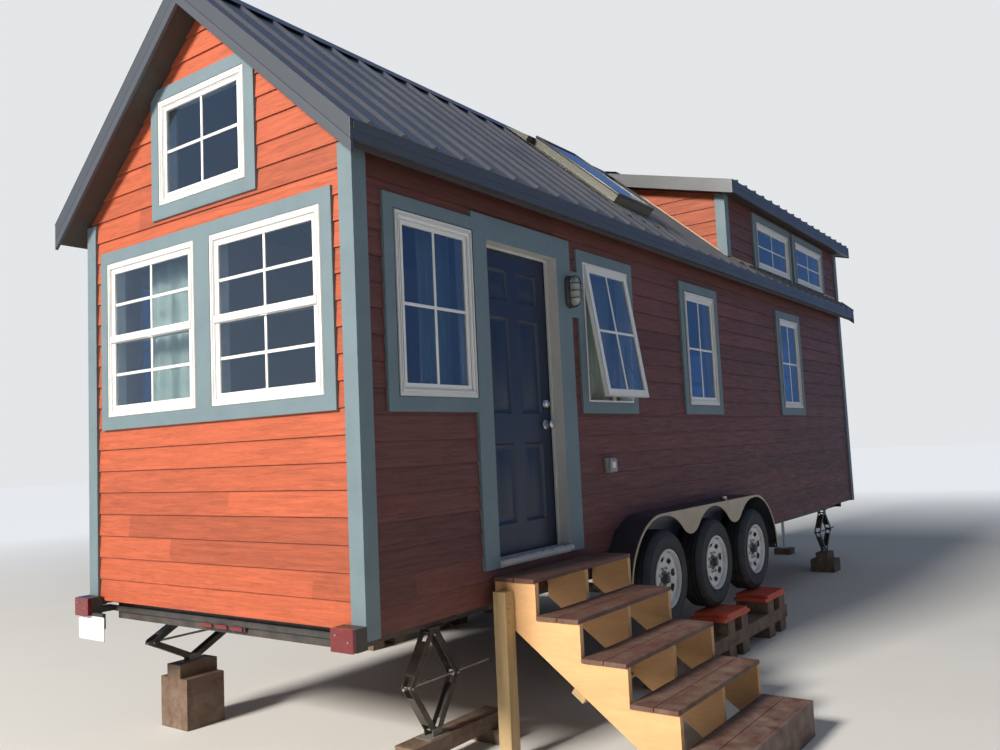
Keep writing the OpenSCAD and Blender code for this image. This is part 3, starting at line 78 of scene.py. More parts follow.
# Height of the roof sheets over the deck, and the room left between lap boards and the roof below or above them
SHEET_LIFT = 0.0307
SHEET_ROOM = 0.002
ROOF_ROOM = 0.004
SLOPE = (RIDGE - EAVE) / (HALF + EAVE_OUT)
DORMER_SLOPE = (RIDGE - DORMER_EDGE) / (HALF + EAVE_OUT)

# Windows as (middle along the wall, sill, width, height)
SIDE_WINDOWS = [(x, 2.126, 0.696, 1.032) for x in (0.632, 2.661, 4.454, 7.077)]
PAIR_WINDOWS = [(HALF + side * 0.560, 2.141, 0.966, 1.032) for side in (-1, 1)]
GABLE_WINDOW = (HALF, 3.455, 0.860, 0.684)
DORMER_WINDOWS = [(7.420 + side * 0.688, 3.669, 1.120, 0.519) for side in (-1, 1)]
AWNING = 1
AWNING_ANGLE = math.radians(8.5)
# How far the windows' frames, sashes and panes stand out of the walls
FRAME_OUT = 0.030
SASH_OUT = 0.020
PANE_OUT = 0.009

# The doorway and its leaf
DOOR_START = 1.129
DOOR_WIDTH = 0.817
# Openings in the lap boards: round the doorway as (left, right, foot, head), and foot and head behind the lamp
DOOR_BOARDS = (0.973, 2.130, 1.092, 3.288)
LAMP_BOARD = (2.731, 3.066)
# The leaf as (hinge edge, lock edge, foot, head), and where its outer and inner faces lie
LEAF = (1.134, 1.939, 1.141, 3.121)
LEAF_OUTER = 0.075
LEAF_INNER = 0.119
# Grooved panels of the leaf, from its hinge edge and from its foot
PANEL_COLUMNS = ((0.115, 0.350), (0.455, 0.690))
PANEL_ROWS = ((0.190, 0.705), (0.900, 1.540), (1.645, 1.855))
HINGE_HALF = 0.0145
SILL = 1.136
KNOB_RISE = 0.830
LOCK_RISE = 0.972
LOCK_INSET = 0.070

# The porch lamp's middle on the wall, and its width, height and depth
LAMP_PLACE = (2.100, 2.906)
LAMP_SIZE = (0.112, 0.236, 0.108)

# The skylight's curb on the slope: its ends along the house, then its foot and head up the slope
SKYLIGHT = (3.298, 3.958, 0.490, 1.550)
FLANGE = 0.110
FLANGE_FOOT = 0.0235
CURB_TOP = 0.088
RIM_TOP = 0.108

# Wheels and fenders
WHEELS = [4.009 + i * 0.964 for i in (-1, 0, 1)]
AXLE = 0.755
TYRE = 0.376
TYRE_WIDTH = 0.225
WHEEL_REACH = 0.228
RIM = 0.224
FENDER_MIDDLE = 3.964
FENDER_HALF = 1.575
FENDER_TOP = 1.262
FENDER_RADIUS = 0.561
# The marker lamp's ends along the fender, and the fender's bolts as (distance from its middle, height)
MARKER = (4.238, 4.304)
FENDER_BOLTS = ((-1.50, 0.735), (-0.48, 1.235), (0.48, 1.235), (1.50, 0.735))

# Stairs: start along the house, width, height of the top tread, number of treads and their run
STAIRS_START = 1.048
STAIRS_WIDTH = 1.212
STAIRS_TOP = 1.049
TREADS = 5
TREAD_RUN = 0.289

# The fitted camera: its place from the rear corner, its yaw, pitch and roll in degrees, its focal length in pixels
CAMERA_PLACE = (-3.193, -3.203, 1.822)
CAMERA_TURN = (35.784, 4.767, -2.635)
CAMERA_FOCAL = 868.59
PICTURE_WIDTH = 1000.0
SENSOR = 36.0

# Heights that differ by less than this count as equal, and points nearer than this are merged
TINY = 1e-6
MERGE = 1e-5
# Mirrors the door side of the house onto its far side
FAR_SIDE = Matrix(((1, 0, 0, 0), (0, -1, 0, WIDTH), (0, 0, 1, 0), (0, 0, 0, 1)))


def roof_at(y):
    """Height of the main roof's deck over a place across the house."""
    return EAVE + (y + EAVE_OUT) * SLOPE


def under_roof(y):
    """Height of the main roof's underside."""
    return roof_at(y) - DECK * math.hypot(1.0, SLOPE)


def dormer_at(y):
    """Height of the dormers' deck over a place across the house."""
    return DORMER_EDGE + (y + EAVE_OUT) * DORMER_SLOPE


def under_dormer(y):
    """Height of the dormers' underside."""
    return dormer_at(y) - DECK * math.hypot(1.0, DORMER_SLOPE)


class HouseSizes(bpy.types.PropertyGroup):
    """Sizes of the pieces that the scene adds to the solids"""
    exposure: FloatProperty(name="Board exposure", description="Height of one siding board that shows",
                            default=0.142, min=0.08, max=0.25, unit="LENGTH")
    lap: FloatProperty(name="Board thickness", description="How far a siding board's lower edge stands out",
                       default=0.014, min=0.006, max=0.02, unit="LENGTH")
    lap_top: FloatProperty(name="Board top", description="How far a siding board stands out where it is overlapped",
                           default=0.004, min=0.001, max=0.01, unit="LENGTH")
    bar: FloatProperty(name="Window bar", description="Width of the bars in the windows",
                       default=0.019, min=0.01, max=0.04, unit="LENGTH")
    relief: FloatProperty(name="Door relief", description="Depth of the grooves round the door's panels",
                          default=0.012, min=0.002, max=0.014, unit="LENGTH")
    screw: FloatProperty(name="Roof screw", description="Width of a roof screw's head",
                         default=0.013, min=0.006, max=0.02, unit="LENGTH")
    slots: IntProperty(name="Rim slots", description="Number of slots in a wheel's disc", default=8, min=5, max=12)


def colour(name, description, default):
    """A colour property with three channels."""
    return FloatVectorProperty(name=name, description=description, default=default, size=3, min=0.0, max=1.0,
                               subtype="COLOR")


class HouseColours(bpy.types.PropertyGroup):
    """Base colours of the finishes"""
    # The long walls' stain is the siding stain darkened as painted shade; the gables' stain is its sunlit copy
    stain: colour("Stain in painted shade, long walls", "Stain of the siding on the long walls, darkened as painted shade", (0.125, 0.038, 0.027))
    stain_gable_sunlit: colour("Stain, gables, sunlit copy", "Stain of the siding on the gables, the sunlit copy of the same stain", (0.400, 0.082, 0.031))
    trim: colour("Trim", "Paint of the corner boards and casings", (0.145, 0.205, 0.235))
    roof: colour("Roof", "Paint of the ribbed metal", (0.054, 0.057, 0.068))
    fascia: colour("Edge boards", "Paint of the boards along the roof's edges", (0.060, 0.066, 0.078))
    door: colour("Door", "Paint of the door", (0.010, 0.016, 0.035))
    tread: colour("Treads", "Colour of the composite boards", (0.125, 0.047, 0.030))
    fir: colour("Stringers", "Colour of the sawn fir", (0.800, 0.465, 0.215))
    pad: colour("Pads", "Colour of the levelling pads", (0.620, 0.060, 0.015))
    floor: colour("Studio floor", "Colour of the plain floor", (0.780, 0.775, 0.765))


# Node groups and materials


class Recipe:
    """Adds nodes to one tree, with plain values or links on their inputs."""

    def __init__(self, tree):
        self.tree = tree

    def put(self, socket, value):
        """Sets an input, or links it to another node's output."""
        if isinstance(value, bpy.types.NodeSocket):
            self.tree.links.new(value, socket)
        else:
            socket.default_value = value

    def add(self, kind, inputs=None, **settings):
        """Makes a node with its inputs and settings."""
        node = self.tree.nodes.new(kind)
        for key, value in settings.items():
            setattr(node, key, value)
        for key, value in (inputs or {}).items():
            self.put(node.inputs[key], value)
        return node

    def maths(self, operation, a, b=0.0):
        """One calculation with two values."""
        return self.add("ShaderNodeMath", {0: a, 1: b}, operation=operation).outputs[0]

    def mix(self, amount, a, b, blend="MIX"):
        """Blends colour a into colour b."""
        node = self.add("ShaderNodeMix", data_type="RGBA", blend_type=blend)
        for key, value in ((0, amount), (6, a), (7, b)):
            self.put(node.inputs[key], value)
        return node.outputs[2]

    def span(self, value, low, high, to_low=0.0, to_high=1.0):
        """Maps one range of a value onto another."""
        return self.add("ShaderNodeMapRange", {"Value": value, "From Min": low, "From Max": high,
                                               "To Min": to_low, "To Max": to_high}).outputs[0]

    def noise(self, vector, scale, detail=4.0, rough=0.55, bend=0.0):
        """Cloudy noise between 0 and 1."""
        return self.add("ShaderNodeTexNoise", {"Vector": vector, "Scale": scale, "Detail": detail,
                                               "Roughness": rough, "Distortion": bend}).outputs["Fac"]

    def group(self, name, inputs):
        """Outputs of a node group with its inputs filled in."""
        node = self.add("ShaderNodeGroup", node_tree=bpy.data.node_groups[name])
        for key, value in inputs.items():
            self.put(node.inputs[key], value)
        return node.outputs


def start_group(name, ins, outs):
    """An empty shader group with named sockets: ins and outs are (name, socket type, default)."""
    tree = bpy.data.node_groups.new(name, "ShaderNodeTree")
    for direction, sockets in (("INPUT", ins), ("OUTPUT", outs)):
        for title, kind, default in sockets:
            socket = tree.interface.new_socket(name=title, in_out=direction, socket_type=kind)
            if default is not None:
                socket.default_value = default
    recipe = Recipe(tree)
    return recipe, recipe.add("NodeGroupInput").outputs, recipe.add("NodeGroupOutput").inputs


FLOAT = "NodeSocketFloat"
COLOR = "NodeSocketColor"
VECTOR = "NodeSocketVector"


def make_groups():
    """Makes the four node groups that the finishes share."""
    grey = (0.5, 0.5, 0.5, 1.0)
    # Streaks of grain along a board, with a few darker bands
    r, i, o = start_group("Grain", [("Vector", VECTOR, None), ("Light", COLOR, grey), ("Dark", COLOR, grey),
                                    ("Contrast", FLOAT, 0.5)],
                          [("Color", COLOR, None), ("Height", FLOAT, None), ("Mask", FLOAT, None)])
    broad = r.noise(i["Vector"], 1.0, 5.0, 0.6, 0.8)
    fine = r.noise(i["Vector"], 6.0, 3.0, 0.7)
    streaks = r.span(r.maths("ADD", broad, r.maths("MULTIPLY", fine, 0.5)), 0.55, 1.0)
    r.put(o["Mask"], streaks)
    r.put(o["Color"], r.mix(r.maths("MULTIPLY", streaks, i["Contrast"]), i["Light"], i["Dark"]))
    r.put(o["Height"], r.maths("SUBTRACT", 1.0, streaks))

    # Uneven colour and sheen of paint, plastic or metal
    r, i, o = start_group("Mottle", [("Vector", VECTOR, None), ("Scale", FLOAT, 6.0), ("Base", COLOR, grey),
                                     ("Tint", COLOR, grey), ("Amount", FLOAT, 0.3), ("Rough", FLOAT, 0.5),
                                     ("Spread", FLOAT, 0.1)],
                          [("Color", COLOR, None), ("Roughness", FLOAT, None), ("Height", FLOAT, None)])
    cloud = r.noise(i["Vector"], i["Scale"], 5.0, 0.6, 0.3)
    speck = r.noise(i["Vector"], r.maths("MULTIPLY", i["Scale"], 17.0), 2.0, 0.5)
    patch = r.span(cloud, 0.35, 0.7)
    r.put(o["Color"], r.mix(r.maths("MULTIPLY", patch, i["Amount"]), i["Base"], i["Tint"]))
    r.put(o["Roughness"], r.maths("ADD", i["Rough"], r.maths("MULTIPLY", r.maths("SUBTRACT", cloud, 0.5), i["Spread"])))
    r.put(o["Height"], speck)

    # Dust that settles on what lies near the ground
    r, i, o = start_group("Road dust", [("Vector", VECTOR, None), ("Color", COLOR, grey), ("Dust", COLOR, grey),
                                        ("Top", FLOAT, 1.0), ("Amount", FLOAT, 0.5)],
                          [("Color", COLOR, None), ("Mask", FLOAT, None)])
    height = r.add("ShaderNodeSeparateXYZ", {"Vector": i["Vector"]}).outputs["Z"]
    low = r.span(height, 0.0, i["Top"], 1.0, 0.0)
    ragged = r.span(r.noise(i["Vector"], 9.0, 6.0, 0.65), 0.35, 0.75)
    mask = r.maths("MULTIPLY", r.maths("MULTIPLY", low, ragged), i["Amount"])
    r.put(o["Mask"], mask)
    r.put(o["Color"], r.mix(mask, i["Color"], i["Dust"]))

    # A number of its own for each siding board, and the place within its exposed height
    r, i, o = start_group("Board number", [("Vector", VECTOR, None), ("Base", FLOAT, 0.9), ("Exposure", FLOAT, 0.142),
                                           ("Length", FLOAT, 4.88)],
                          [("Number", FLOAT, None), ("Rise", FLOAT, None)])
    parts = r.add("ShaderNodeSeparateXYZ", {"Vector": i["Vector"]}).outputs
    row = r.maths("DIVIDE", r.maths("SUBTRACT", parts["Z"], i["Base"]), i["Exposure"])
    whole = r.maths("FLOOR", row)
    shift = r.add("ShaderNodeTexWhiteNoise", {"W": whole}, noise_dimensions="1D").outputs["Value"]
    along = r.maths("ADD", r.maths("DIVIDE", r.maths("ADD", parts["X"], parts["Y"]), i["Length"]), shift)
    key = r.maths("ADD", whole, r.maths("MULTIPLY", r.maths("FLOOR", along), 0.37))
    r.put(o["Number"], r.add("ShaderNodeTexWhiteNoise", {"W": key}, noise_dimensions="1D").outputs["Value"])
    r.put(o["Rise"], r.maths("FRACT", row))


def rgba(c):
    """A colour with full opacity."""
    return (c[0], c[1], c[2], 1.0)


def shade(c, factor):
    """A colour made darker or lighter."""
    return tuple(min(1.0, x * factor) for x in c[:3])


def new_material(name, base, roughness, metallic=0.0):
    """A material with its recipe, its main shader's inputs and the place in the house's own space."""
    material = bpy.data.materials.new(name)
    material.use_nodes = True
    material.diffuse_color = rgba(base)
    bsdf = material.node_tree.nodes["Principled BSDF"]
    bsdf.inputs["Base Color"].default_value = rgba(base)
    bsdf.inputs["Roughness"].default_value = roughness
    bsdf.inputs["Metallic"].default_value = metallic
    recipe = Recipe(material.node_tree)
    place = recipe.add("ShaderNodeTexCoord").outputs["Object"]
    return material, recipe, bsdf.inputs, place


def bump(recipe, sockets, height, strength, distance):
    """Fine relief from a height value."""
    node = recipe.add("ShaderNodeBump", {"Strength": strength, "Distance": distance, "Height": height})
    recipe.put(sockets["Normal"], node.outputs["Normal"])


DUST = (0.38, 0.31, 0.24)


def coated(name, base, tint=None, amount=0.35, scale=6.0, rough=0.5, spread=0.15, metallic=0.0, texture=0.12,
           dust_top=0.0, dust=0.0, coat=0.0):
    """Paint, plastic or metal: an uneven colour, an uneven sheen, a fine texture, and dust near the ground."""
    tint = tint or shade(base, 0.6)
    material, r, sockets, place = new_material(name, base, rough, metallic)
    out = r.group("Mottle", {"Vector": place, "Scale": scale, "Base": rgba(base), "Tint": rgba(tint),
                             "Amount": amount, "Rough": rough, "Spread": spread})
    paint, sheen = out["Color"], out["Roughness"]
    if dust:
        dusty = r.group("Road dust", {"Vector": place, "Color": paint, "Dust": rgba(DUST), "Top": dust_top,
                                      # Siding on the long walls in a stain darkened as painted shade, and on the gables
                                      # in its sunlit copy
                                      "Amount": dust})
        paint = dusty["Color"]
        sheen = r.maths("ADD", sheen, r.maths("MULTIPLY", dusty["Mask"], 0.4))
    r.put(sockets["Base Color"], paint)
    r.put(sockets["Roughness"], sheen)
    if coat:
        sockets["Coat Weight"].default_value = coat
    bump(r, sockets, out["Height"], texture, 0.0008)
    return material


def wooden(name, light, dark, stretch, contrast=0.7, rough=0.65, relief=0.3, dust_top=0.0, dust=0.0, depth=0.0015):
    """Wood whose grain runs along the axis with the smallest number in stretch."""
    material, r, sockets, place = new_material(name, light, rough)
    mapped = r.add("ShaderNodeMapping", {"Vector": place, "Scale": stretch}).outputs[0]
    out = r.group("Grain", {"Vector": mapped, "Light": rgba(light), "Dark": rgba(dark), "Contrast": contrast})
    stain = r.group("Mottle", {"Vector": place, "Scale": 2.5, "Base": out["Color"], "Tint": rgba(dark),
                               "Amount": 0.35, "Rough": rough, "Spread": 0.2})
    paint = stain["Color"]
    if dust:
        paint = r.group("Road dust", {"Vector": place, "Color": paint, "Dust": rgba(DUST), "Top": dust_top,
                                      "Amount": dust})["Color"]
    r.put(sockets["Base Color"], paint)
    r.put(sockets["Roughness"], stain["Roughness"])
    bump(r, sockets, out["Height"], relief, depth)
    return material


def siding(name, stain, base, exposure):
    """Embossed lap boards under a solid stain, each board a little lighter or darker than the next."""
    material, r, sockets, place = new_material(name, stain, 0.62)
    board = r.group("Board number", {"Vector": place, "Base": base, "Exposure": exposure})
    apart = r.maths("MULTIPLY", board["Number"], 31.0)
    lift = r.add("ShaderNodeCombineXYZ", {"X": 0.0, "Y": 0.0, "Z": apart}).outputs[0]
    moved = r.add("ShaderNodeVectorMath", {0: place, 1: lift}, operation="ADD").outputs[0]
    mapped = r.add("ShaderNodeMapping", {"Vector": moved, "Scale": (3.0, 3.0, 46.0)}).outputs[0]
    grain = r.group("Grain", {"Vector": mapped, "Light": rgba(shade(stain, 1.18)), "Dark": rgba(shade(stain, 0.52)),
                              "Contrast": 0.75})
    tone = r.span(board["Number"], 0.0, 1.0, 0.80, 1.16)
    toned = r.add("ShaderNodeCombineColor", {0: tone, 1: tone, 2: tone}).outputs[0]
    hue = r.mix(1.0, grain["Color"], toned, "MULTIPLY")
    dusty = r.group("Road dust", {"Vector": place, "Color": hue, "Dust": rgba(shade(stain, 0.55)), "Top": 2.2,
                                  "Amount": 0.45})
    shadow = r.mix(r.span(board["Rise"], 0.90, 1.0, 0.0, 0.55), dusty["Color"], rgba(shade(stain, 0.25)))
    r.put(sockets["Base Color"], shadow)
    r.put(sockets["Roughness"], r.span(grain["Mask"], 0.0, 1.0, 0.52, 0.74))
    knots = r.maths("ADD", grain["Height"], r.maths("MULTIPLY", r.noise(place, 160.0, 3.0), 0.35))
    bump(r, sockets, knots, 0.55, 0.0016)
    return material


def surround(name, jamb, boards):
    """Painted jambs inside the doorway and trim paint on the flat boards round it."""
    material, r, sockets, place = new_material(name, jamb, 0.5)
    parts = r.add("ShaderNodeSeparateXYZ", {"Vector": place}).outputs
    left = r.maths("LESS_THAN", parts["X"], CORNER.x + DOOR_START - 0.0004)
    right = r.maths("GREATER_THAN", parts["X"], CORNER.x + DOOR_START + DOOR_WIDTH + 0.0004)
    over = r.maths("GREATER_THAN", parts["Z"], LEAF[3] + 0.0054)
    beside = r.maths("MAXIMUM", r.maths("MAXIMUM", left, right), over)
    board = r.maths("MULTIPLY", beside, r.maths("LESS_THAN", parts["Y"], CORNER.y - 0.0004))
    hue = r.mix(board, rgba(jamb), rgba(boards))
    darker = r.mix(0.35, hue, (0.05, 0.05, 0.05, 1))
    out = r.group("Mottle", {"Vector": place, "Scale": 5.0, "Base": hue, "Tint": darker,
                             "Amount": 0.4, "Rough": 0.55, "Spread": 0.2})
    dusty = r.group("Road dust", {"Vector": place, "Color": out["Color"], "Dust": rgba(DUST), "Top": 1.4,
                                  "Amount": 0.3})
    r.put(sockets["Base Color"], dusty["Color"])
    r.put(sockets["Roughness"], out["Roughness"])
    bump(r, sockets, out["Height"], 0.3, 0.0008)
    return material


def glazing(name, tint):
    """Glass that mirrors the sky, with faint smears and a thin shadow."""
    material, r, sockets, place = new_material(name, tint, 0.03)
    smear = r.span(r.noise(place, 3.0, 4.0), 0.3, 0.8, 0.015, 0.07)
    r.put(sockets["Roughness"], smear)
    sockets["Transmission Weight"].default_value = 1.0
    sockets["IOR"].default_value = 1.9
    shadow = r.add("ShaderNodeLightPath").outputs["Is Shadow Ray"]
    r.put(sockets["Alpha"], r.maths("SUBTRACT", 1.0, r.maths("MULTIPLY", shadow, 0.8)))
    cloudy = r.span(r.noise(place, 1.5, 3.0), 0.3, 0.8, 0.0, 0.25)
    r.put(sockets["Base Color"], r.mix(cloudy, rgba(tint), rgba(shade(tint, 0.8))))
    return material


def lens(name, tint, pitch):
    """Moulded lens with close ribs."""
    material, r, sockets, place = new_material(name, tint, 0.18)
    ribs = r.add("ShaderNodeTexWave", {"Vector": place, "Scale": pitch, "Distortion": 0.0},
                 bands_direction="Y").outputs["Fac"]
    r.put(sockets["Base Color"], r.mix(r.maths("MULTIPLY", ribs, 0.4), rgba(tint), rgba(shade(tint, 0.45))))
    r.put(sockets["Roughness"], r.span(r.noise(place, 20.0), 0.3, 0.7, 0.12, 0.3))
    sockets["Coat Weight"].default_value = 0.6
    bump(r, sockets, ribs, 0.5, 0.002)
    return material


def rubber(name):
    """Tyre rubber: uneven, matt, with road dust on it."""
    material, r, sockets, place = new_material(name, (0.014, 0.014, 0.015), 0.75)
    out = r.group("Mottle", {"Vector": place, "Scale": 12.0, "Base": (0.012, 0.012, 0.013, 1),
                             "Tint": (0.030, 0.028, 0.026, 1), "Amount": 0.6, "Rough": 0.72, "Spread": 0.2})
    dusty = r.group("Road dust", {"Vector": place, "Color": out["Color"], "Dust": rgba(DUST), "Top": 1.5,
                                  "Amount": 0.14})
    r.put(sockets["Base Color"], dusty["Color"])
    r.put(sockets["Roughness"], out["Roughness"])
    bump(r, sockets, out["Height"], 0.25, 0.001)
    return material


def ribbed_metal(name, base):
    """Factory paint on steel sheet: faint streaks down the slope and a dusty bloom."""
    material, r, sockets, place = new_material(name, base, 0.42)
    mapped = r.add("ShaderNodeMapping", {"Vector": place, "Scale": (14.0, 0.9, 0.9)}).outputs[0]
    out = r.group("Grain", {"Vector": mapped, "Light": rgba(shade(base, 1.12)), "Dark": rgba(shade(base, 0.78)),
                            "Contrast": 0.55})
    bloom = r.group("Mottle", {"Vector": place, "Scale": 1.6, "Base": out["Color"], "Tint": rgba((0.20, 0.19, 0.18)),
                               "Amount": 0.22, "Rough": 0.42, "Spread": 0.25})
    r.put(sockets["Base Color"], bloom["Color"])
    r.put(sockets["Roughness"], bloom["Roughness"])
    bump(r, sockets, bloom["Height"], 0.08, 0.0006)
    return material


def folded(name, base):
    """Painted edge metal with a fold line that follows the rakes, drawn as a dark stripe of painted shadow, and lighter
    below it.
    """
    material, r, sockets, place = new_material(name, base, 0.45)
    out = r.group("Mottle", {"Vector": place, "Scale": 3.0, "Base": rgba(base), "Tint": rgba(shade(base, 0.7)),
                             "Amount": 0.4, "Rough": 0.42, "Spread": 0.2})
    parts = r.add("ShaderNodeSeparateXYZ", {"Vector": place}).outputs
    off = r.maths("ABSOLUTE", r.maths("SUBTRACT", parts["Y"], CORNER.y + HALF))
    fall = r.maths("SUBTRACT", RIDGE, r.maths("ADD", parts["Z"], r.maths("MULTIPLY", off, SLOPE)))
    # The fold line is a dark stripe of painted shadow; below it the metal is made lighter
    line = r.span(r.maths("ABSOLUTE", r.maths("SUBTRACT", fall, 0.108)), 0.002, 0.006, 0.75, 0.0)
    lower = r.span(fall, 0.107, 0.109, 0.0, 0.22)
    banded = r.mix(lower, out["Color"], rgba(shade(base, 1.5)))
    r.put(sockets["Base Color"], r.mix(line, banded, rgba(shade(base, 0.15))))
    r.put(sockets["Roughness"], out["Roughness"])
    bump(r, sockets, r.maths("SUBTRACT", out["Height"], r.maths("MULTIPLY", line, 4.0)), 0.15, 0.002)
    return material


def cloth(name, base):
    """A plain weave that follows the curtain's own UV map."""
    material, r, sockets, _ = new_material(name, base, 0.9)
    uv = r.add("ShaderNodeUVMap").outputs[0]
    warp = r.add("ShaderNodeTexWave", {"Vector": uv, "Scale": 180.0}, bands_direction="X").outputs["Fac"]
    weft = r.add("ShaderNodeTexWave", {"Vector": uv, "Scale": 180.0}, bands_direction="Y").outputs["Fac"]
    weave = r.maths("MULTIPLY", warp, weft)
    r.put(sockets["Base Color"], r.mix(r.maths("MULTIPLY", weave, 0.4), rgba(base), rgba(shade(base, 0.8))))
    sockets["Sheen Weight"].default_value = 0.3
    bump(r, sockets, weave, 0.3, 0.0006)
    return material


# Finished materials by name, filled by the first operator
MATERIALS = {}


def dress(material_name, *nodes):
    """Gives CAD nodes a finished material on every slot."""
    for node in nodes:
        slots = NODES[node].data.materials
        slots.clear()
        slots.append(MATERIALS[material_name])
        for polygon in NODES[node].data.polygons:
            polygon.material_index = 0


def soften(width, *nodes):
    """Eases the sharp arrises of CAD nodes with live modifiers."""
    for node in nodes:
        weld = NODES[node].modifiers.new("Joined corners", "WELD")
        weld.merge_threshold = 0.0001
        bevel = NODES[node].modifiers.new("Eased edges", "BEVEL")
        bevel.width = width
        bevel.segments = 2
        bevel.limit_method = "ANGLE"
        bevel.angle_limit = math.radians(40)


# Shapes, all drawn in metres from the rear corner of the door-side wall


def block(bm, low, high):
    """A box between two corners."""
    low, high = Vector(low), Vector(high)
    size = high - low
    place = Matrix.Translation((low + high) / 2) @ Matrix.Diagonal((size.x, size.y, size.z, 1.0))
    return bmesh.ops.create_cube(bm, size=1.0, matrix=place)["verts"]


def rounded_block(bm, low, high, radius, segments=2):
    """A box with rounded edges."""
    verts = block(bm, low, high)
    edges = list({e for v in verts for e in v.link_edges})
    bmesh.ops.bevel(bm, geom=edges, offset=radius, offset_type="OFFSET", segments=segments, profile=0.5,
                    affect="EDGES", material=-1, clamp_overlap=True)


def rod(bm, start, end, radius, segments=16):
    """A straight round bar between two points."""
    start, end = Vector(start), Vector(end)
    along = end - start
    place = Matrix.Translation((start + end) / 2) @ along.to_track_quat("Z", "Y").to_matrix().to_4x4()
    return bmesh.ops.create_cone(bm, cap_ends=True, cap_tris=False, segments=segments, radius1=radius, radius2=radius,
                                 depth=along.length, matrix=place)["verts"]


def trimmed(bm, point, outward):
    """Cuts away what lies beyond a plane and closes the cut."""
    geom = bm.verts[:] + bm.edges[:] + bm.faces[:]
    bmesh.ops.bisect_plane(bm, geom=geom, dist=TINY, plane_co=point, plane_no=outward, clear_outer=True)
    rim = [e for e in bm.edges if e.is_boundary]
    if rim:
        bmesh.ops.holes_fill(bm, edges=rim, sides=0)


def turned(bm, profile, centre, axis, steps=48):
    """Spins a profile of (radius, offset along the axis) about the axis through centre."""
    axis = Vector(axis)
    across = Vector((0, 0, 1))
    verts = [bm.verts.new(Vector(centre) + across * radius + axis * offset) for radius, offset in profile]
    edges = [bm.edges.new(pair) for pair in zip(verts, verts[1:])]
    bmesh.ops.spin(bm, geom=verts + edges, cent=centre, axis=axis, dvec=(0, 0, 0), angle=2 * math.pi, steps=steps,
                   use_merge=True, use_duplicate=False)


def joined(bm, part):
    """Adds a finished bmesh to another and frees it."""
    mesh = bpy.data.meshes.new("part")
    part.to_mesh(mesh)
    part.free()
    bm.from_mesh(mesh)
    bpy.data.meshes.remove(mesh)


def add_piece(name, bm, material, body, smooth=None, replaces=(), merge=True):
    """Turns a bmesh into a finished piece that rides on a body."""
    if merge:
        bmesh.ops.remove_doubles(bm, verts=bm.verts[:], dist=MERGE)
    bmesh.ops.recalc_face_normals(bm, faces=bm.faces[:])
    bm.transform(Matrix.Translation(CORNER))
    mesh = bpy.data.meshes.new(name)
    bm.to_mesh(mesh)
    bm.free()
    mesh.materials.append(MATERIALS[material])
    piece = bpy.data.objects.new(name, mesh)
    bpy.context.scene.collection.objects.link(piece)
    if smooth is not None:
        mesh.shade_smooth()
        mesh.set_sharp_from_angle(angle=math.radians(smooth))
    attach(piece, body)
    if replaces:
        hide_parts(*replaces)
    return piece


# Siding


def lap_rows(bm, sizes, u0, u1, z0, z1, base, holes):
    """Lap boards over a stretch of wall, drawn with X along it, Y outwards and Z up, with gaps at the holes."""
    z = base + math.floor((z0 - base) / sizes.exposure + TINY) * sizes.exposure
    while z < z1 - TINY:
        low, high = max(z, z0), min(z + sizes.exposure, z1)
        cuts = sorted({low, high, *[edge for hole in holes for edge in hole[2:] if low < edge < high]})
        for za, zb in zip(cuts, cuts[1:]):
            spans = [(u0, u1)]
            for left, right, foot, head in holes:
                if foot < zb - TINY and head > za + TINY:
                    spans = [part for a, b in spans for part in ((a, min(b, left)), (max(a, right), b))]
            fall = (sizes.lap - sizes.lap_top) / sizes.exposure
            thick, thin = sizes.lap - fall * (za - z), sizes.lap - fall * (zb - z)
            for a, b in spans:
                if b - a > 0.003 and zb - za > 0.002:
                    for vert in block(bm, (a, 0.0, za), (b, thick, zb)):
                        if vert.co.z > (za + zb) / 2 and vert.co.y > thick / 2:
                            vert.co.y = thin
        z += sizes.exposure


def window_hole(window):
    """The opening in the lap boards for a window and its casings."""
    middle, sill, width, height = window
    return (middle - width / 2 - CASING_WIDTH, middle + width / 2 + CASING_WIDTH, sill - CASING_WIDTH,
            sill + height + CASING_WIDTH)


def fender_edges(z):
    """Where a fender's outline crosses a height, on its rear and front sides."""
    rise = min(max(z - (FENDER_TOP - FENDER_RADIUS), 0.0), FENDER_RADIUS)
    reach = FENDER_HALF - FENDER_RADIUS + math.sqrt(FENDER_RADIUS ** 2 - rise ** 2)
    return FENDER_MIDDLE - reach, FENDER_MIDDLE + reach


def long_wall(sizes, holes):
    """Boards of one long wall, cut off square round its openings and along the fender's curve."""
    bm = bmesh.new()
    top = under_roof(0.0) - ROOF_ROOM
    lap_rows(bm, sizes, CORNER_IN, LENGTH - CORNER_IN, FENDER_TOP, top, SIDE_BOTTOM, holes)
    z = SIDE_BOTTOM
    while z < FENDER_TOP - TINY:
        head = min(z + sizes.exposure / 2, FENDER_TOP)
        for side in (0, 1):
            part = bmesh.new()
            span = (CORNER_IN, FENDER_MIDDLE) if side == 0 else (FENDER_MIDDLE, LENGTH - CORNER_IN)
            lap_rows(part, sizes, *span, z, head, SIDE_BOTTOM, holes)
            foot_x, head_x = fender_edges(z)[side], fender_edges(head)[side]
            run = Vector((head_x - foot_x, 0.0, head - z))
            outward = Vector((run.z, 0.0, -run.x)) * (1 if side == 0 else -1)
            trimmed(part, (foot_x, 0.0, z), outward)
            joined(bm, part)
        z = head
    return bm


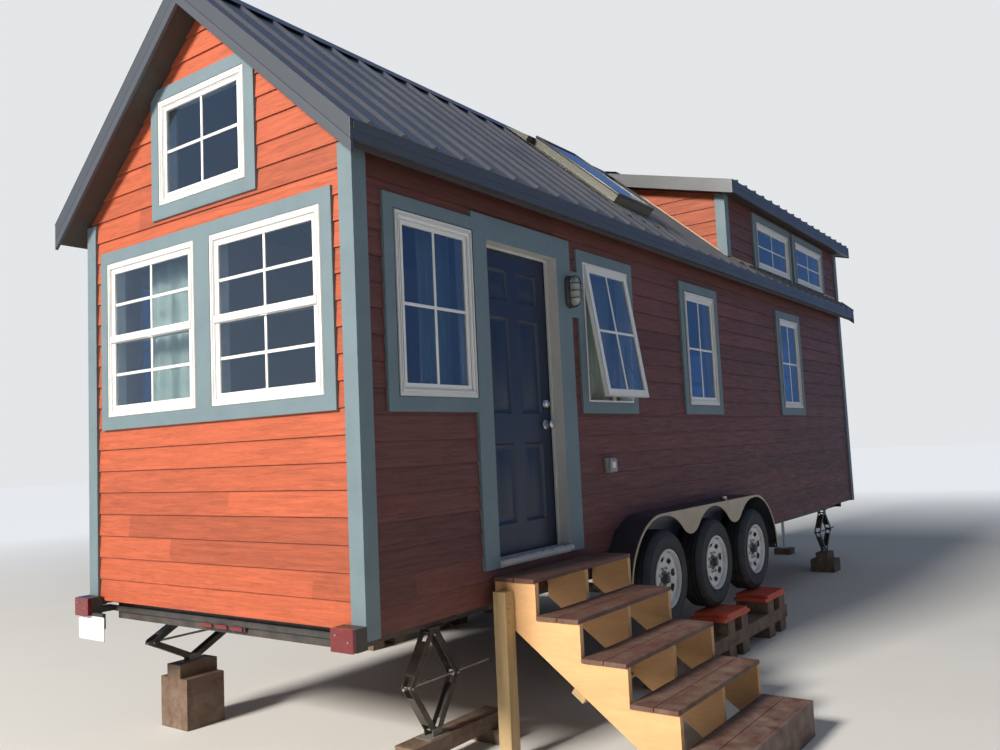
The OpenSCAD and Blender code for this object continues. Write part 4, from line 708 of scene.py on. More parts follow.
def facing_out(bm, side):
    """Turns boards drawn with X along the wall and Y outwards to face one side of the house."""
    turns = {
        "door": Matrix(((1, 0, 0, 0), (0, -1, 0, 0), (0, 0, 1, 0), (0, 0, 0, 1))),
        "far": Matrix(((1, 0, 0, 0), (0, 1, 0, WIDTH), (0, 0, 1, 0), (0, 0, 0, 1))),
        "rear": Matrix(((0, -1, 0, 0), (1, 0, 0, 0), (0, 0, 1, 0), (0, 0, 0, 1))),
        "front": Matrix(((0, 1, 0, LENGTH), (1, 0, 0, 0), (0, 0, 1, 0), (0, 0, 0, 1))),
    }
    bm.transform(turns[side])
    return bm


def under_planes(bm, slope, height_at):
    """Trims boards drawn on an end wall to the two planes under a roof."""
    for sense in (1, -1):
        trimmed(bm, (HALF, 0.0, height_at(HALF) - ROOF_ROOM), Vector((slope * sense, 0.0, 1.0)))


class TINYHOUSE_OT_siding(bpy.types.Operator):
    """Lays the lap boards on the four walls, the dormers and their cheeks"""
    bl_idname = "tinyhouse.siding"
    bl_label = "Siding"

    def execute(self, context):
        sizes = context.scene.tiny_house_sizes
        holes = [window_hole(w) for w in SIDE_WINDOWS]
        door_side = holes + [DOOR_BOARDS, (DOOR_BOARDS[1], window_hole(SIDE_WINDOWS[AWNING])[0], *LAMP_BOARD)]
        # The long walls take the siding stain darkened as painted shade
        for side, gaps in (("door", door_side), ("far", holes)):
            add_piece("siding_" + side, facing_out(long_wall(sizes, gaps), side), "siding", "house",
                      merge=False)
        left, right = (window_hole(w) for w in PAIR_WINDOWS)
        pair = (left[0], right[1], left[2], left[3])
        # The gables take the sunlit copy of the stain
        for side, slope, height_at in (("rear", SLOPE, under_roof), ("front", DORMER_SLOPE, under_dormer)):
            bm = bmesh.new()
            eave = height_at(-CASING)
            gaps = [pair, window_hole(GABLE_WINDOW)]
            lap_rows(bm, sizes, CORNER_IN, WIDTH - CORNER_IN, END_BOTTOM, eave, END_BOTTOM, gaps)
            lap_rows(bm, sizes, 0.0, WIDTH, eave, height_at(HALF), END_BOTTOM, gaps)
            under_planes(bm, slope, height_at)
            add_piece("siding_" + side, facing_out(bm, side), "siding_sun", "house", merge=False)
        # The dormers' sides take the stain darkened as painted shade, and their cheeks take the sunlit copy
        for side in ("door", "far"):
            bm = bmesh.new()
            foot = roof_at(0.0) + SHEET_LIFT + SHEET_ROOM
            lap_rows(bm, sizes, DORMER + CORNER_IN, LENGTH - CORNER_IN, foot, under_dormer(0.0) - 0.006, END_BOTTOM,
                     [window_hole(w) for w in DORMER_WINDOWS])
            add_piece("siding_dormer_" + side, facing_out(bm, side), "siding", "house", merge=False)
        bm = bmesh.new()
        for sense in (1, -1):
            part = bmesh.new()
            lap_rows(part, sizes, CORNER_IN, HALF, roof_at(CORNER_IN), under_dormer(HALF), END_BOTTOM, [])
            trimmed(part, (0.0, 0.0, under_dormer(0.0) - ROOF_ROOM), Vector((-DORMER_SLOPE, 0.0, 1.0)))
            trimmed(part, (0.0, 0.0, roof_at(0.0) + SHEET_LIFT + SHEET_ROOM), Vector((SLOPE, 0.0, -1.0)))
            if sense < 0:
                bmesh.ops.transform(part, matrix=Matrix(((-1, 0, 0, WIDTH), (0, 1, 0, 0), (0, 0, 1, 0), (0, 0, 0, 1))),
                                    verts=part.verts[:])
            joined(bm, part)
        facing_out(bm, "rear")
        bmesh.ops.translate(bm, vec=(DORMER, 0.0, 0.0), verts=bm.verts[:])
        add_piece("siding_cheeks", bm, "siding_sun", "house", merge=False)
        dress("lining", "rear_wall", "front_wall", "door_wall_rear", "door_wall_middle", "door_wall_front", "far_wall",
              "dormer_walls")
        dress("floorboards", "floor")
        dress("trim", "corner_boards", "window_casings")
        soften(0.003, "corner_boards", "window_casings")
        return {"FINISHED"}


# Roof


class TINYHOUSE_OT_roof(bpy.types.Operator):
    """Paints the roof and sets the screws along the eaves"""
    bl_idname = "tinyhouse.roof"
    bl_label = "Roof"

    def execute(self, context):
        dress("roof_metal", "roof_sheets", "ridge_cap")
        dress("soffit", "roof_deck", "dormer_deck")
        dress("fascia", "rake_boards", "eave_boards")
        soften(0.003, "rake_boards", "eave_boards")
        # Drip edge: a folded strip over the upper part of each eave board
        bm = bmesh.new()
        face = -EAVE_OUT - EDGE
        for far in (False, True):
            for start, top in ((-RAKE_OUT, roof_at(face)), (DORMER - RAKE_OUT, dormer_at(face))):
                part = bmesh.new()
                rounded_block(part, (start, face - 0.0040, top - 0.056),
                              (LENGTH + RAKE_OUT, face + 0.001, top - 0.002), 0.0012)
                if far:
                    part.transform(FAR_SIDE)
                joined(bm, part)
        add_piece("drip_edge", bm, "fascia", "house", merge=False)
        # Three rows of screws up the main roof
        size = context.scene.tiny_house_sizes.screw
        angle = math.atan(SLOPE)
        for side, mirror in (("door", 1), ("far", -1)):
            bm = bmesh.new()
            for up in (0.05, 0.75, 1.45):
                x = -0.05
                while x < DORMER - 0.1:
                    y = -EAVE_OUT + up * math.cos(angle)
                    z = roof_at(y) + 0.0048
                    place = Matrix.Translation((x, y if mirror > 0 else WIDTH - y, z)) @ \
                        Matrix.Rotation(angle * mirror, 4, "X")
                    bmesh.ops.create_cone(bm, cap_ends=True, segments=6, radius1=size / 2, radius2=size / 2.4,
                                          depth=0.005, matrix=place)
                    x += 0.130
            add_piece("roof_screws_" + side, bm, "roof_metal", "house", merge=False)
        return {"FINISHED"}


# Windows


def to_wall(bm, side):
    """Moves what was drawn with Z outwards, X along and Y up onto a wall."""
    turns = {
        "door": Matrix(((1, 0, 0, 0), (0, 0, -1, 0), (0, 1, 0, 0), (0, 0, 0, 1))),
        "far": Matrix(((1, 0, 0, 0), (0, 0, 1, WIDTH), (0, 1, 0, 0), (0, 0, 0, 1))),
        "rear": Matrix(((0, 0, -1, 0), (1, 0, 0, 0), (0, 1, 0, 0), (0, 0, 0, 1))),
        "front": Matrix(((0, 0, 1, LENGTH), (1, 0, 0, 0), (0, 1, 0, 0), (0, 0, 0, 1))),
    }
    bm.transform(turns[side])
    return bm


def bars(bm, window, bar, columns, rows, foot=0.0, head=1.0, depth=PANE_OUT, inset=0.070):
    """Bars between the panes of one sash: columns and rows of panes between two shares of the height."""
    middle, sill, width, height = window
    left, right = middle - width / 2 + inset, middle + width / 2 - inset
    low, high = sill + height * foot + inset, sill + height * head - inset
    for i in range(1, columns):
        x = left + (right - left) * i / columns
        rounded_block(bm, (x - bar / 2, low, depth - 0.010), (x + bar / 2, high, depth + 0.004), 0.003)
    for i in range(1, rows):
        y = low + (high - low) * i / rows
        rounded_block(bm, (left, y - bar / 2, depth - 0.010), (right, y + bar / 2, depth + 0.0035), 0.003)


def bead(bm, window, inset, width, low, high):
    """A raised line round a window's frame, with mitred corners."""
    middle, sill, w, h = window
    outer = [(middle - w / 2 + inset, sill + inset), (middle + w / 2 - inset, sill + inset),
             (middle + w / 2 - inset, sill + h - inset), (middle - w / 2 + inset, sill + h - inset)]
    face = bm.faces.new([bm.verts.new((x, y, low)) for x, y in outer])
    ring = bmesh.ops.inset_region(bm, faces=[face], thickness=width, use_boundary=True,
                                  use_even_offset=True)["faces"]
    bmesh.ops.delete(bm, geom=[face], context="FACES_ONLY")
    made = bmesh.ops.extrude_face_region(bm, geom=ring)["geom"]
    bmesh.ops.translate(bm, vec=(0, 0, high - low), verts=[g for g in made if isinstance(g, bmesh.types.BMVert)])


def frame_beads(bm, window):
    """The two raised lines on a window's outer frame."""
    bead(bm, window, 0.002, 0.009, FRAME_OUT, FRAME_OUT + 0.003)
    bead(bm, window, 0.024, 0.010, FRAME_OUT, FRAME_OUT + 0.0025)


def draped_curtain(name, x0, x1, z0, z1, depth, side, folds, phase):
    """A gathered curtain that hangs just inside a window."""
    bm = bmesh.new()
    across, down = folds * 12, 10
    bmesh.ops.create_grid(bm, x_segments=across, y_segments=down, size=0.5)
    uv = bm.loops.layers.uv.new("cloth")
    amplitude = 0.016
    for vert in bm.verts:
        u, v = vert.co.x + 0.5, vert.co.y + 0.5
        for loop in vert.link_loops:
            loop[uv].uv = (u * (x1 - x0) * 1.25, v * (z1 - z0))
        wave = math.sin(u * folds * 2 * math.pi + phase) + \
            0.35 * math.sin(u * folds * 3.3 * math.pi + 1.7 * v + phase)
        vert.co = Vector((x0 + (x1 - x0) * u, z0 + (z1 - z0) * v, -depth + amplitude * wave * (1.0 - 0.35 * v)))
    bm.verts.ensure_lookup_table()
    area = sum(face.calc_area() for face in bm.faces)
    to_wall(bm, side)
    piece = add_piece(name, bm, "curtain", "house", smooth=60, merge=False)
    thick = piece.modifiers.new("Cloth thickness", "SOLIDIFY")
    thick.thickness = 0.0012
    thick.offset = 0.0
    return piece


class TINYHOUSE_OT_windows(bpy.types.Operator):
    """Sets the bars, beads, seals, stays and curtains of the windows, with dark strips of painted shadow round the
    frames on the long walls
    """
    bl_idname = "tinyhouse.windows"
    bl_label = "Windows"

    def execute(self, context):
        bar = context.scene.tiny_house_sizes.bar
        bm, seal_strips_and_shadow_gaps = bmesh.new(), bmesh.new()
        for side, windows in (("door", [w for i, w in enumerate(SIDE_WINDOWS) if i != AWNING]), ("far", SIDE_WINDOWS),
                              ("door", DORMER_WINDOWS), ("far", DORMER_WINDOWS), ("rear", [GABLE_WINDOW]),
                              ("front", [GABLE_WINDOW])):
            for window in windows:
                part = bmesh.new()
                bars(part, window, bar * (0.7 if window in DORMER_WINDOWS else 1.0), 2, 2)
                frame_beads(part, window)
                bead(part, window, 0.048, 0.008, SASH_OUT, SASH_OUT + 0.003)
                bead(part, window, 0.066, 0.010, PANE_OUT - 0.001, SASH_OUT - 0.004)
                joined(bm, to_wall(part, side))
                part = bmesh.new()
                bead(part, window, 0.0150, 0.0045, FRAME_OUT, FRAME_OUT + 0.0010)
                if side in ("door", "far"):
                    # A dark strip round the outside of the frame is painted shadow in the gap between frame and casing
                    bead(part, window, -0.0045, 0.0055, FRAME_OUT - 0.004, FRAME_OUT + 0.0009)
                joined(seal_strips_and_shadow_gaps, to_wall(part, side))
        for side in ("rear", "front"):
            for window in PAIR_WINDOWS:
                middle, sill, width, height = window
                part = bmesh.new()
                bars(part, window, bar, 2, 2, 0.0, 0.54)
                bars(part, window, bar, 2, 2, 0.45, 1.0)
                frame_beads(part, window)
                # A raised line round the upper sash, the meeting rail and its catch
                upper = (middle, sill + height / 2 - 0.024, width, height / 2 + 0.024)
                bead(part, upper, 0.036, 0.026, SASH_OUT, SASH_OUT + 0.012)
                rounded_block(part, (middle - width / 2 + 0.038, sill + height / 2 - 0.022, SASH_OUT),
                              (middle + width / 2 - 0.038, sill + height / 2 + 0.022, SASH_OUT + 0.016), 0.004)
                rounded_block(part, (middle - 0.035, sill + height / 2 - 0.030, SASH_OUT - 0.002),
                              (middle + 0.035, sill + height / 2 - 0.020, SASH_OUT + 0.007), 0.003)
                joined(bm, to_wall(part, side))
                part = bmesh.new()
                bead(part, window, 0.0150, 0.0045, FRAME_OUT, FRAME_OUT + 0.0010)
                joined(seal_strips_and_shadow_gaps, to_wall(part, side))
        add_piece("window_bars", bm, "vinyl", "house", smooth=35, merge=False)
        # This piece holds the rubber seals and the dark strips of painted shadow round the frames
        add_piece("window_seal_strips_and_shadow_gaps", seal_strips_and_shadow_gaps, "rubber", "house", merge=False)
        # The open sash has its own bars, turned out with it about its head
        bm = bmesh.new()
        window = SIDE_WINDOWS[AWNING]
        bars(bm, window, bar, 2, 2, depth=FRAME_OUT - 0.011)
        bead(bm, window, 0.022, 0.010, FRAME_OUT, FRAME_OUT + 0.003)
        bead(bm, window, 0.062, 0.010, FRAME_OUT - 0.012, FRAME_OUT - 0.003)
        to_wall(bm, "door")
        head = Vector((0.0, 0.0, window[1] + window[3] - 0.012))
        bm.transform(Matrix.Translation(head) @ Matrix.Rotation(-AWNING_ANGLE, 4, "X") @ Matrix.Translation(-head))
        add_piece("awning_bars", bm, "vinyl", "house", smooth=35, merge=False)
        # A stay arm, its track and three screws on both sides of the open sash
        bm = bmesh.new()
        foot = window[1] + 0.040
        for sense in (-1, 1):
            x = window[0] + sense * (window[2] / 2 - 0.022)
            rod(bm, (x, 0.020, foot + 0.32), (x, -0.095, foot + 0.08), 0.005, 10)
            rounded_block(bm, (x - 0.007, 0.004, foot + 0.02), (x + 0.007, 0.020, foot + 0.42), 0.003)
            for up in (0.10, 0.24, 0.38):
                rod(bm, (x, 0.000, foot + up), (x, 0.010, foot + up), 0.006, 10)
        add_piece("awning_stays", bm, "zinc", "house", smooth=35, merge=False)
        dress("vinyl", "window_frames", "awning_sash")
        soften(0.0025, "window_frames", "awning_sash")
        dress("glass", "window_panes")
        left = PAIR_WINDOWS[1]
        draped_curtain("curtain_pair_far", left[0] - 0.42, left[0] + 0.24, 2.15, 3.16, 0.15, "rear", 5, 0.4)
        side = SIDE_WINDOWS[0]
        draped_curtain("curtain_side_a", side[0] + 0.02, side[0] + 0.33, 2.15, 3.14, 0.16, "door", 4, 1.1)
        side = SIDE_WINDOWS[1]
        draped_curtain("curtain_side_b", side[0] - 0.05, side[0] + 0.33, 2.15, 3.14, 0.16, "door", 5, 2.0)
        return {"FINISHED"}


class TINYHOUSE_OT_skylight(bpy.types.Operator):
    """Puts the frame and flashing round the skylight"""
    bl_idname = "tinyhouse.skylight"
    bl_label = "Skylight"

    def execute(self, context):
        angle = math.atan(SLOPE)
        slope = Matrix.Translation((0.0, -EAVE_OUT, EAVE)) @ Matrix.Rotation(angle, 4, "X")
        x0, x1, low, high = SKYLIGHT
        bm = bmesh.new()
        # Flat flanges beside the curb, a saddle above it and a pleated apron below it
        for a, b in ((x0 - FLANGE, x0 - 0.001), (x1 + 0.001, x1 + FLANGE)):
            rounded_block(bm, (a, low - 0.02, FLANGE_FOOT), (b, high + 0.10, 0.0275), 0.0015, 1)
        for a, b in ((x0 - 0.004, x0 - 0.001), (x1 + 0.001, x1 + 0.004)):
            block(bm, (a, low, 0.024), (b, high, CURB_TOP))
        saddle = block(bm, (x0 - FLANGE, high + 0.001, FLANGE_FOOT), (x1 + FLANGE, high + 0.300, 0.080))
        for vert in saddle:
            if vert.co.y > high + 0.2 and vert.co.z > 0.05:
                vert.co.z = 0.026
        pleats = 11
        for i in range(pleats):
            a = x0 - 0.100 + i * (x1 - x0 + 0.200) / pleats
            tilt = block(bm, (a, low - 0.210, 0.020), (a + 0.060, low - 0.002, 0.0245))
            for vert in tilt:
                if vert.co.y < low - 0.1:
                    vert.co.z -= 0.014
        bm.transform(slope)
        add_piece("skylight_flashing", bm, "flashing", "house", merge=False)
        bm = bmesh.new()
        over, inside = 0.006, 0.030
        for a, b, c, d in ((x0 - over, x0 + inside, low - over, high + over),
                           (x1 - inside, x1 + over, low - over, high + over),
                           (x0 + inside, x1 - inside, low - over, low + inside),
                           (x0 + inside, x1 - inside, high - inside, high + over)):
            rounded_block(bm, (a, c, CURB_TOP), (b, d, RIM_TOP), 0.003)
        bm.transform(slope)
        add_piece("skylight_rim", bm, "black_paint", "house", smooth=40, merge=False)
        dress("flashing", "skylight_curb")
        return {"FINISHED"}


# Door and fittings


def scored(bm, point, normal):
    """Cuts edges into a bmesh along a plane and removes nothing."""
    bmesh.ops.bisect_plane(bm, geom=bm.verts[:] + bm.edges[:] + bm.faces[:], plane_co=point, plane_no=normal)


class TINYHOUSE_OT_door(bpy.types.Operator):
    """Models the six-panel door leaf with its hinge knuckles, and finishes its frame and lock"""
    bl_idname = "tinyhouse.door"
    bl_label = "Door"

    def execute(self, context):
        relief = context.scene.tiny_house_sizes.relief
        x0, x1, z0, z1 = LEAF
        bm = bmesh.new()
        block(bm, (x0, LEAF_OUTER, z0), (x1, LEAF_INNER, z1))
        columns = [(x0 + a, x0 + b) for a, b in PANEL_COLUMNS]
        rows = [(z0 + a, z0 + b) for a, b in PANEL_ROWS]
        for x in [edge for pair in columns for edge in pair]:
            scored(bm, (x, 0, 0), (1, 0, 0))
        for z in [edge for pair in rows for edge in pair]:
            scored(bm, (0, 0, z), (0, 0, 1))
        panels = [f for f in bm.faces if abs(f.normal.y) > 0.9
                  and any(a < f.calc_center_median().x < b for a, b in columns)
                  and any(a < f.calc_center_median().z < b for a, b in rows)]
        for width, depth in ((0.004, -relief * 0.4), (0.014, -relief * 0.6), (0.014, 0.0), (0.034, relief * 0.8)):
            bmesh.ops.inset_individual(bm, faces=panels, thickness=width, depth=depth, use_even_offset=True)
        middle = LEAF_INNER + 0.008
        for z in (z0 + 0.200, (z0 + z1) / 2, z1 - 0.200):
            rod(bm, (x0 - 0.0025, middle, z - HINGE_HALF), (x0 - 0.0025, middle, z + HINGE_HALF), 0.0069, 20)
            block(bm, (x0, LEAF_INNER - 0.001, z - HINGE_HALF), (x0 + 0.030, LEAF_INNER + 0.003, z + HINGE_HALF))
        add_piece("door_slab", bm, "door_paint", "door", smooth=30, replaces=["door_leaf"], merge=False)
        # A ribbed strip on the threshold, and weather strips beside the leaf
        bm = bmesh.new()
        left, right = DOOR_START + 0.002, DOOR_START + DOOR_WIDTH - 0.002
        rounded_block(bm, (left, -0.050, 1.1362), (right, -0.012, 1.1410), 0.002)
        for i in range(4):
            y = -0.046 + i * 0.009
            block(bm, (left, y, 1.1405), (right, y + 0.004, 1.1420))
        add_piece("threshold_strip", bm, "nickel", "house", merge=False)
        bm = bmesh.new()
        for x in (DOOR_START + 0.003, DOOR_START + DOOR_WIDTH - 0.009):
            rounded_block(bm, (x, 0.062, 1.142), (x + 0.006, 0.0695, 3.120), 0.002)
        add_piece("weather_strip", bm, "rubber", "house", merge=False)
        # The lock's turned rose and key plug over its plain disc
        bm = bmesh.new()
        x, knob_z, lock_z = x1 - LOCK_INSET, SILL + KNOB_RISE, SILL + LOCK_RISE
        turned(bm, [(0.0, 0.0), (0.020, 0.0), (0.0255, -0.004), (0.027, -0.010), (0.024, -0.014), (0.012, -0.017),
                    (0.0, -0.0175)], (x, LEAF_OUTER - 0.0118, lock_z), (0, 1, 0), 32)
        rounded_block(bm, (x - 0.0025, LEAF_OUTER - 0.033, lock_z - 0.007),
                      (x + 0.0025, LEAF_OUTER - 0.029, lock_z + 0.007), 0.001)
        add_piece("lock_face", bm, "nickel", "door", smooth=40, merge=False)
        bm = bmesh.new()
        for sense, start in ((-1, LEAF_OUTER), (1, LEAF_INNER)):
            profile = [(0.0, 0.0), (0.0335, 0.0), (0.0335, 0.003), (0.026, 0.007), (0.013, 0.009), (0.0115, 0.024),
                       (0.016, 0.031), (0.0255, 0.037), (0.0275, 0.045), (0.026, 0.053), (0.018, 0.0585), (0.0, 0.0595)]
            turned(bm, [(r, sense * o) for r, o in profile], (x, start, knob_z), (0, 1, 0), 40)
            rose = [(0.0, 0.0), (0.028, 0.0), (0.028, 0.008), (0.024, 0.0118), (0.0, 0.0118)]
            turned(bm, [(r, sense * o) for r, o in rose], (x, start, lock_z), (0, 1, 0), 32)
        add_piece("door_knob", bm, "nickel", "door", smooth=35, replaces=["door_hardware"])
        dress("surround", "door_frame")
        soften(0.0025, "door_frame")
        dress("door_paint", "door_leaf")
        dress("nickel", "door_hardware")
        return {"FINISHED"}


def stadium(bm, width, height, steps):
    """A rounded oblong drawn in X and Y that rises along Z through (height, share of the outline) steps."""
    disc = bmesh.ops.create_circle(bm, cap_ends=True, segments=36, radius=width / 2)["verts"]
    for vert in disc:
        vert.co.y += math.copysign((height - width) / 2, vert.co.y)
    face = disc[0].link_faces[0]
    for rise, share in steps:
        face = bmesh.ops.extrude_discrete_faces(bm, faces=[face])["faces"][0]
        for vert in face.verts:
            vert.co = Vector((vert.co.x * share, vert.co.y * share, rise))


class TINYHOUSE_OT_fittings(bpy.types.Operator):
    """Models the caged lamp beside the door and the outlet box"""
    bl_idname = "tinyhouse.fittings"
    bl_label = "Lamp and outlet"

    def execute(self, context):
        width, height, depth = LAMP_SIZE
        onto = Matrix(((1, 0, 0, LAMP_PLACE[0]), (0, 0, -1, -CASING), (0, 1, 0, LAMP_PLACE[1]), (0, 0, 0, 1)))
        bm = bmesh.new()
        stadium(bm, width, height, [(0.010, 1.0), (0.026, 0.97), (0.034, 0.93), (0.034, 0.90), (0.030, 1.0)])
        for y in (-0.085, 0.085):
            rod(bm, (0, y, 0.030), (0, y, 0.046), 0.006, 12)
        bm.transform(onto)
        add_piece("lamp_body", bm, "lamp_metal", "house", smooth=35, replaces=["porch_light"],
                  merge=False)
        bm = bmesh.new()
        stadium(bm, width * 0.80, height * 0.88,
                [(0.030, 1.0), (0.062, 0.97), (0.080, 0.90), (0.090, 0.86), (0.096, 0.70), (0.098, 0.5)])
        bm.transform(onto)
        add_piece("lamp_glass", bm, "lamp_glass", "house", smooth=50, merge=False)
        # Cage: a rim, one long hoop and three short ones
        bm = bmesh.new()
        hoops = [("long", 0.0, height * 0.475, depth - 0.006), ("short", -0.052, width * 0.455, depth - 0.007),
                 ("short", 0.052, width * 0.455, depth - 0.007), ("short", 0.0, width * 0.455, depth - 0.005)]
        for kind, place, reach, rise in hoops:
            points = []
            for i in range(15):
                a = math.pi * i / 14
                along = math.copysign(abs(math.cos(a)) ** 0.55, math.cos(a)) * reach
                up = 0.028 + (rise - 0.028) * math.sin(a) ** 0.55
                points.append(Vector((place, along, up)) if kind == "long" else Vector((along, place, up)))
            for a, b in zip(points, points[1:]):
                rod(bm, a, b + (b - a).normalized() * 0.001, 0.0034, 10)
        stadium(bm, width * 0.93, height * 0.965, [(0.034, 1.0), (0.042, 1.0), (0.042, 0.90), (0.034, 0.90)])
        bm.transform(onto)
        add_piece("lamp_cage", bm, "lamp_metal", "house", smooth=45, merge=False)

        low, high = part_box("outlet_box")
        low, high = low - CORNER, high - CORNER
        bm = bmesh.new()
        rounded_block(bm, (low.x, -0.040, low.z), (high.x, -0.001, high.z), 0.006, 3)
        rounded_block(bm, (low.x + 0.004, -0.0595, low.z + 0.004), (high.x - 0.004, -0.040, high.z - 0.010), 0.006, 3)
        rod(bm, (low.x + 0.012, -0.045, high.z - 0.006), (high.x - 0.012, -0.045, high.z - 0.006), 0.005, 14)
        rounded_block(bm, (low.x + 0.045, -0.0618, low.z + 0.003), (high.x - 0.045, -0.052, low.z + 0.010), 0.002)
        add_piece("outlet_cover", bm, "box_grey", "house", smooth=40, replaces=["outlet_box"], merge=False)
        bm = bmesh.new()
        middle = (low + high) / 2
        rounded_block(bm, (middle.x - 0.026, -0.0615, middle.z - 0.020),
                      (middle.x + 0.022, -0.0590, middle.z + 0.024), 0.004, 3)
        add_piece("outlet_window", bm, "vinyl", "house", smooth=40, merge=False)
        dress("lamp_metal", "porch_light")
        dress("box_grey", "outlet_box")
        return {"FINISHED"}


# Wheels and running gear


def tyre_shape(bm, centre):
    """Tyre with a bulged sidewall and four grooves round its tread; offsets run from its outer side."""
    half = TYRE_WIDTH / 2
    tread = [(TYRE - 0.011, 0.028), (TYRE - 0.003, 0.040)]
    for i in range(4):
        middle = 0.052 + (TYRE_WIDTH - 0.104) * i / 3
        tread += [(TYRE - 0.0005, middle - 0.006), (TYRE - 0.009, middle - 0.004), (TYRE - 0.009, middle + 0.004),
                  (TYRE - 0.0005, middle + 0.006)]
    tread += [(TYRE - 0.003, TYRE_WIDTH - 0.040), (TYRE - 0.011, TYRE_WIDTH - 0.028)]
    outer = [(RIM - 0.004, 0.016), (RIM + 0.004, 0.010), (RIM + 0.020, 0.006), (RIM + 0.024, 0.003),
             (RIM + 0.030, 0.003), (RIM + 0.034, 0.0055), (RIM + 0.070, 0.001), (RIM + 0.100, 0.002),
             (RIM + 0.104, 0.0005), (RIM + 0.108, 0.003), (TYRE - 0.022, 0.013)]
    profile = outer + tread + [(r, TYRE_WIDTH - o) for r, o in reversed(outer)]
    turned(bm, [(r, o) for r, o in profile] + [(RIM - 0.010, half), (RIM - 0.004, 0.016)], centre, (0, 1, 0), 96)


def disc_shape(bm, centre, count):
    """Wheel disc dished inwards, with a ring of slots through it, drawn from the rim's outer side."""
    profile = [(RIM - 0.014, 0.036), (RIM - 0.026, 0.034), (0.178, 0.030), (0.166, 0.033), (0.132, 0.046),
               (0.118, 0.052), (0.104, 0.050), (0.072, 0.046), (0.060, 0.046)]
    steps = count * 8
    turned(bm, profile, centre, (0, 1, 0), steps)
    bmesh.ops.remove_doubles(bm, verts=bm.verts[:], dist=MERGE)
    gone = []
    for face in bm.faces:
        spot = face.calc_center_median() - Vector(centre)
        radius = math.hypot(spot.x, spot.z)
        turn = (math.degrees(math.atan2(spot.z, spot.x)) * steps / 360.0) % 8
        if 0.130 < radius < 0.167 and turn < 4:
            gone.append(face)
    bmesh.ops.delete(bm, geom=gone, context="FACES")
    bmesh.ops.recalc_face_normals(bm, faces=bm.faces[:])


def wheel_pieces(body, x, far, count):
    """Tyre, rim, disc, hub and nuts of one wheel."""
    centre = Vector((x, -WHEEL_REACH, AXLE))
    axis = (0, 1, 0)

    def done(name, bm, material, smooth, replaces=(), merge=True):
        """Adds one piece on its own side of the house."""
        bm.transform(FAR_SIDE if far else Matrix())
        return add_piece(f"{body}_{name}", bm, material, body, smooth=smooth, replaces=replaces, merge=merge)

    bm = bmesh.new()
    tyre_shape(bm, centre)
    done("tyre", bm, "tyre", 30, [body])
    # Rim: two flanges and the barrel between them
    bm = bmesh.new()
    barrel = [(-0.004, 0.014), (0.002, 0.010), (0.001, 0.004), (-0.006, 0.003), (-0.011, 0.010), (-0.013, 0.030),
              (-0.018, 0.050), (-0.024, 0.100), (-0.020, 0.205), (-0.006, 0.218), (0.001, 0.215), (-0.012, 0.205),
              (-0.018, 0.100), (-0.011, 0.048), (-0.008, 0.020), (-0.004, 0.014)]
    turned(bm, [(RIM + r, o) for r, o in barrel], centre, axis, 96)
    done("rim", bm, "rim_white", 40)
    bm = bmesh.new()
    disc_shape(bm, centre, count)
    disc = done("disc", bm, "rim_white", 50, merge=False)
    thick = disc.modifiers.new("Sheet thickness", "SOLIDIFY")
    thick.thickness = 0.005
    thick.offset = -1.0 if not far else 1.0
    round_slots = disc.modifiers.new("Round slots", "SUBSURF")
    round_slots.levels = 1
    round_slots.render_levels = 1
    # Hub with a domed dust cap, and a brake drum behind the disc
    bm = bmesh.new()
    cap = [(0.0, 0.002), (0.022, 0.003), (0.031, 0.008), (0.034, 0.014), (0.034, 0.030), (0.041, 0.034),
           (0.044, 0.040), (0.060, 0.042), (0.061, 0.060), (0.0, 0.060)]
    drum = [(0.050, 0.062), (0.150, 0.066), (0.157, 0.072), (0.158, 0.130), (0.050, 0.130), (0.050, 0.062)]
    turned(bm, cap, centre, axis, 48)
    turned(bm, drum, centre, axis, 64)
    done("hub", bm, "black_paint", 40)
    # Eight nuts on their studs, and the valve at the rim
    bm = bmesh.new()
    circle = 0.0825
    for i in range(8):
        a = 2 * math.pi * (i + 0.5) / 8
        spot = centre + Vector((math.cos(a) * circle, 0.0, math.sin(a) * circle))
        rod(bm, spot + Vector((0, 0.050, 0)), spot + Vector((0, 0.034, 0)), 0.0118, 6)
        rod(bm, spot + Vector((0, 0.036, 0)), spot + Vector((0, 0.026, 0)), 0.0064, 10)
    a = math.radians(72)
    spot = centre + Vector((math.cos(a) * (RIM - 0.022), 0.0, math.sin(a) * (RIM - 0.022)))
    rod(bm, spot + Vector((0, 0.040, 0)), spot + Vector((0, 0.008, 0)), 0.0045, 10)
    done("nuts", bm, "zinc", 35, merge=False)


class TINYHOUSE_OT_wheels(bpy.types.Operator):
    """Models the tyres, slotted discs, hubs and nuts of the six wheels"""
    bl_idname = "tinyhouse.wheels"
    bl_label = "Wheels"

    def execute(self, context):
        for far, side in ((False, "door"), (True, "far")):
            for x, place in zip(WHEELS, ("rear", "middle", "front")):
                wheel_pieces(f"{side}_wheel_{place}", x, far, context.scene.tiny_house_sizes.slots)
                dress("tyre", f"{side}_wheel_{place}")
        return {"FINISHED"}


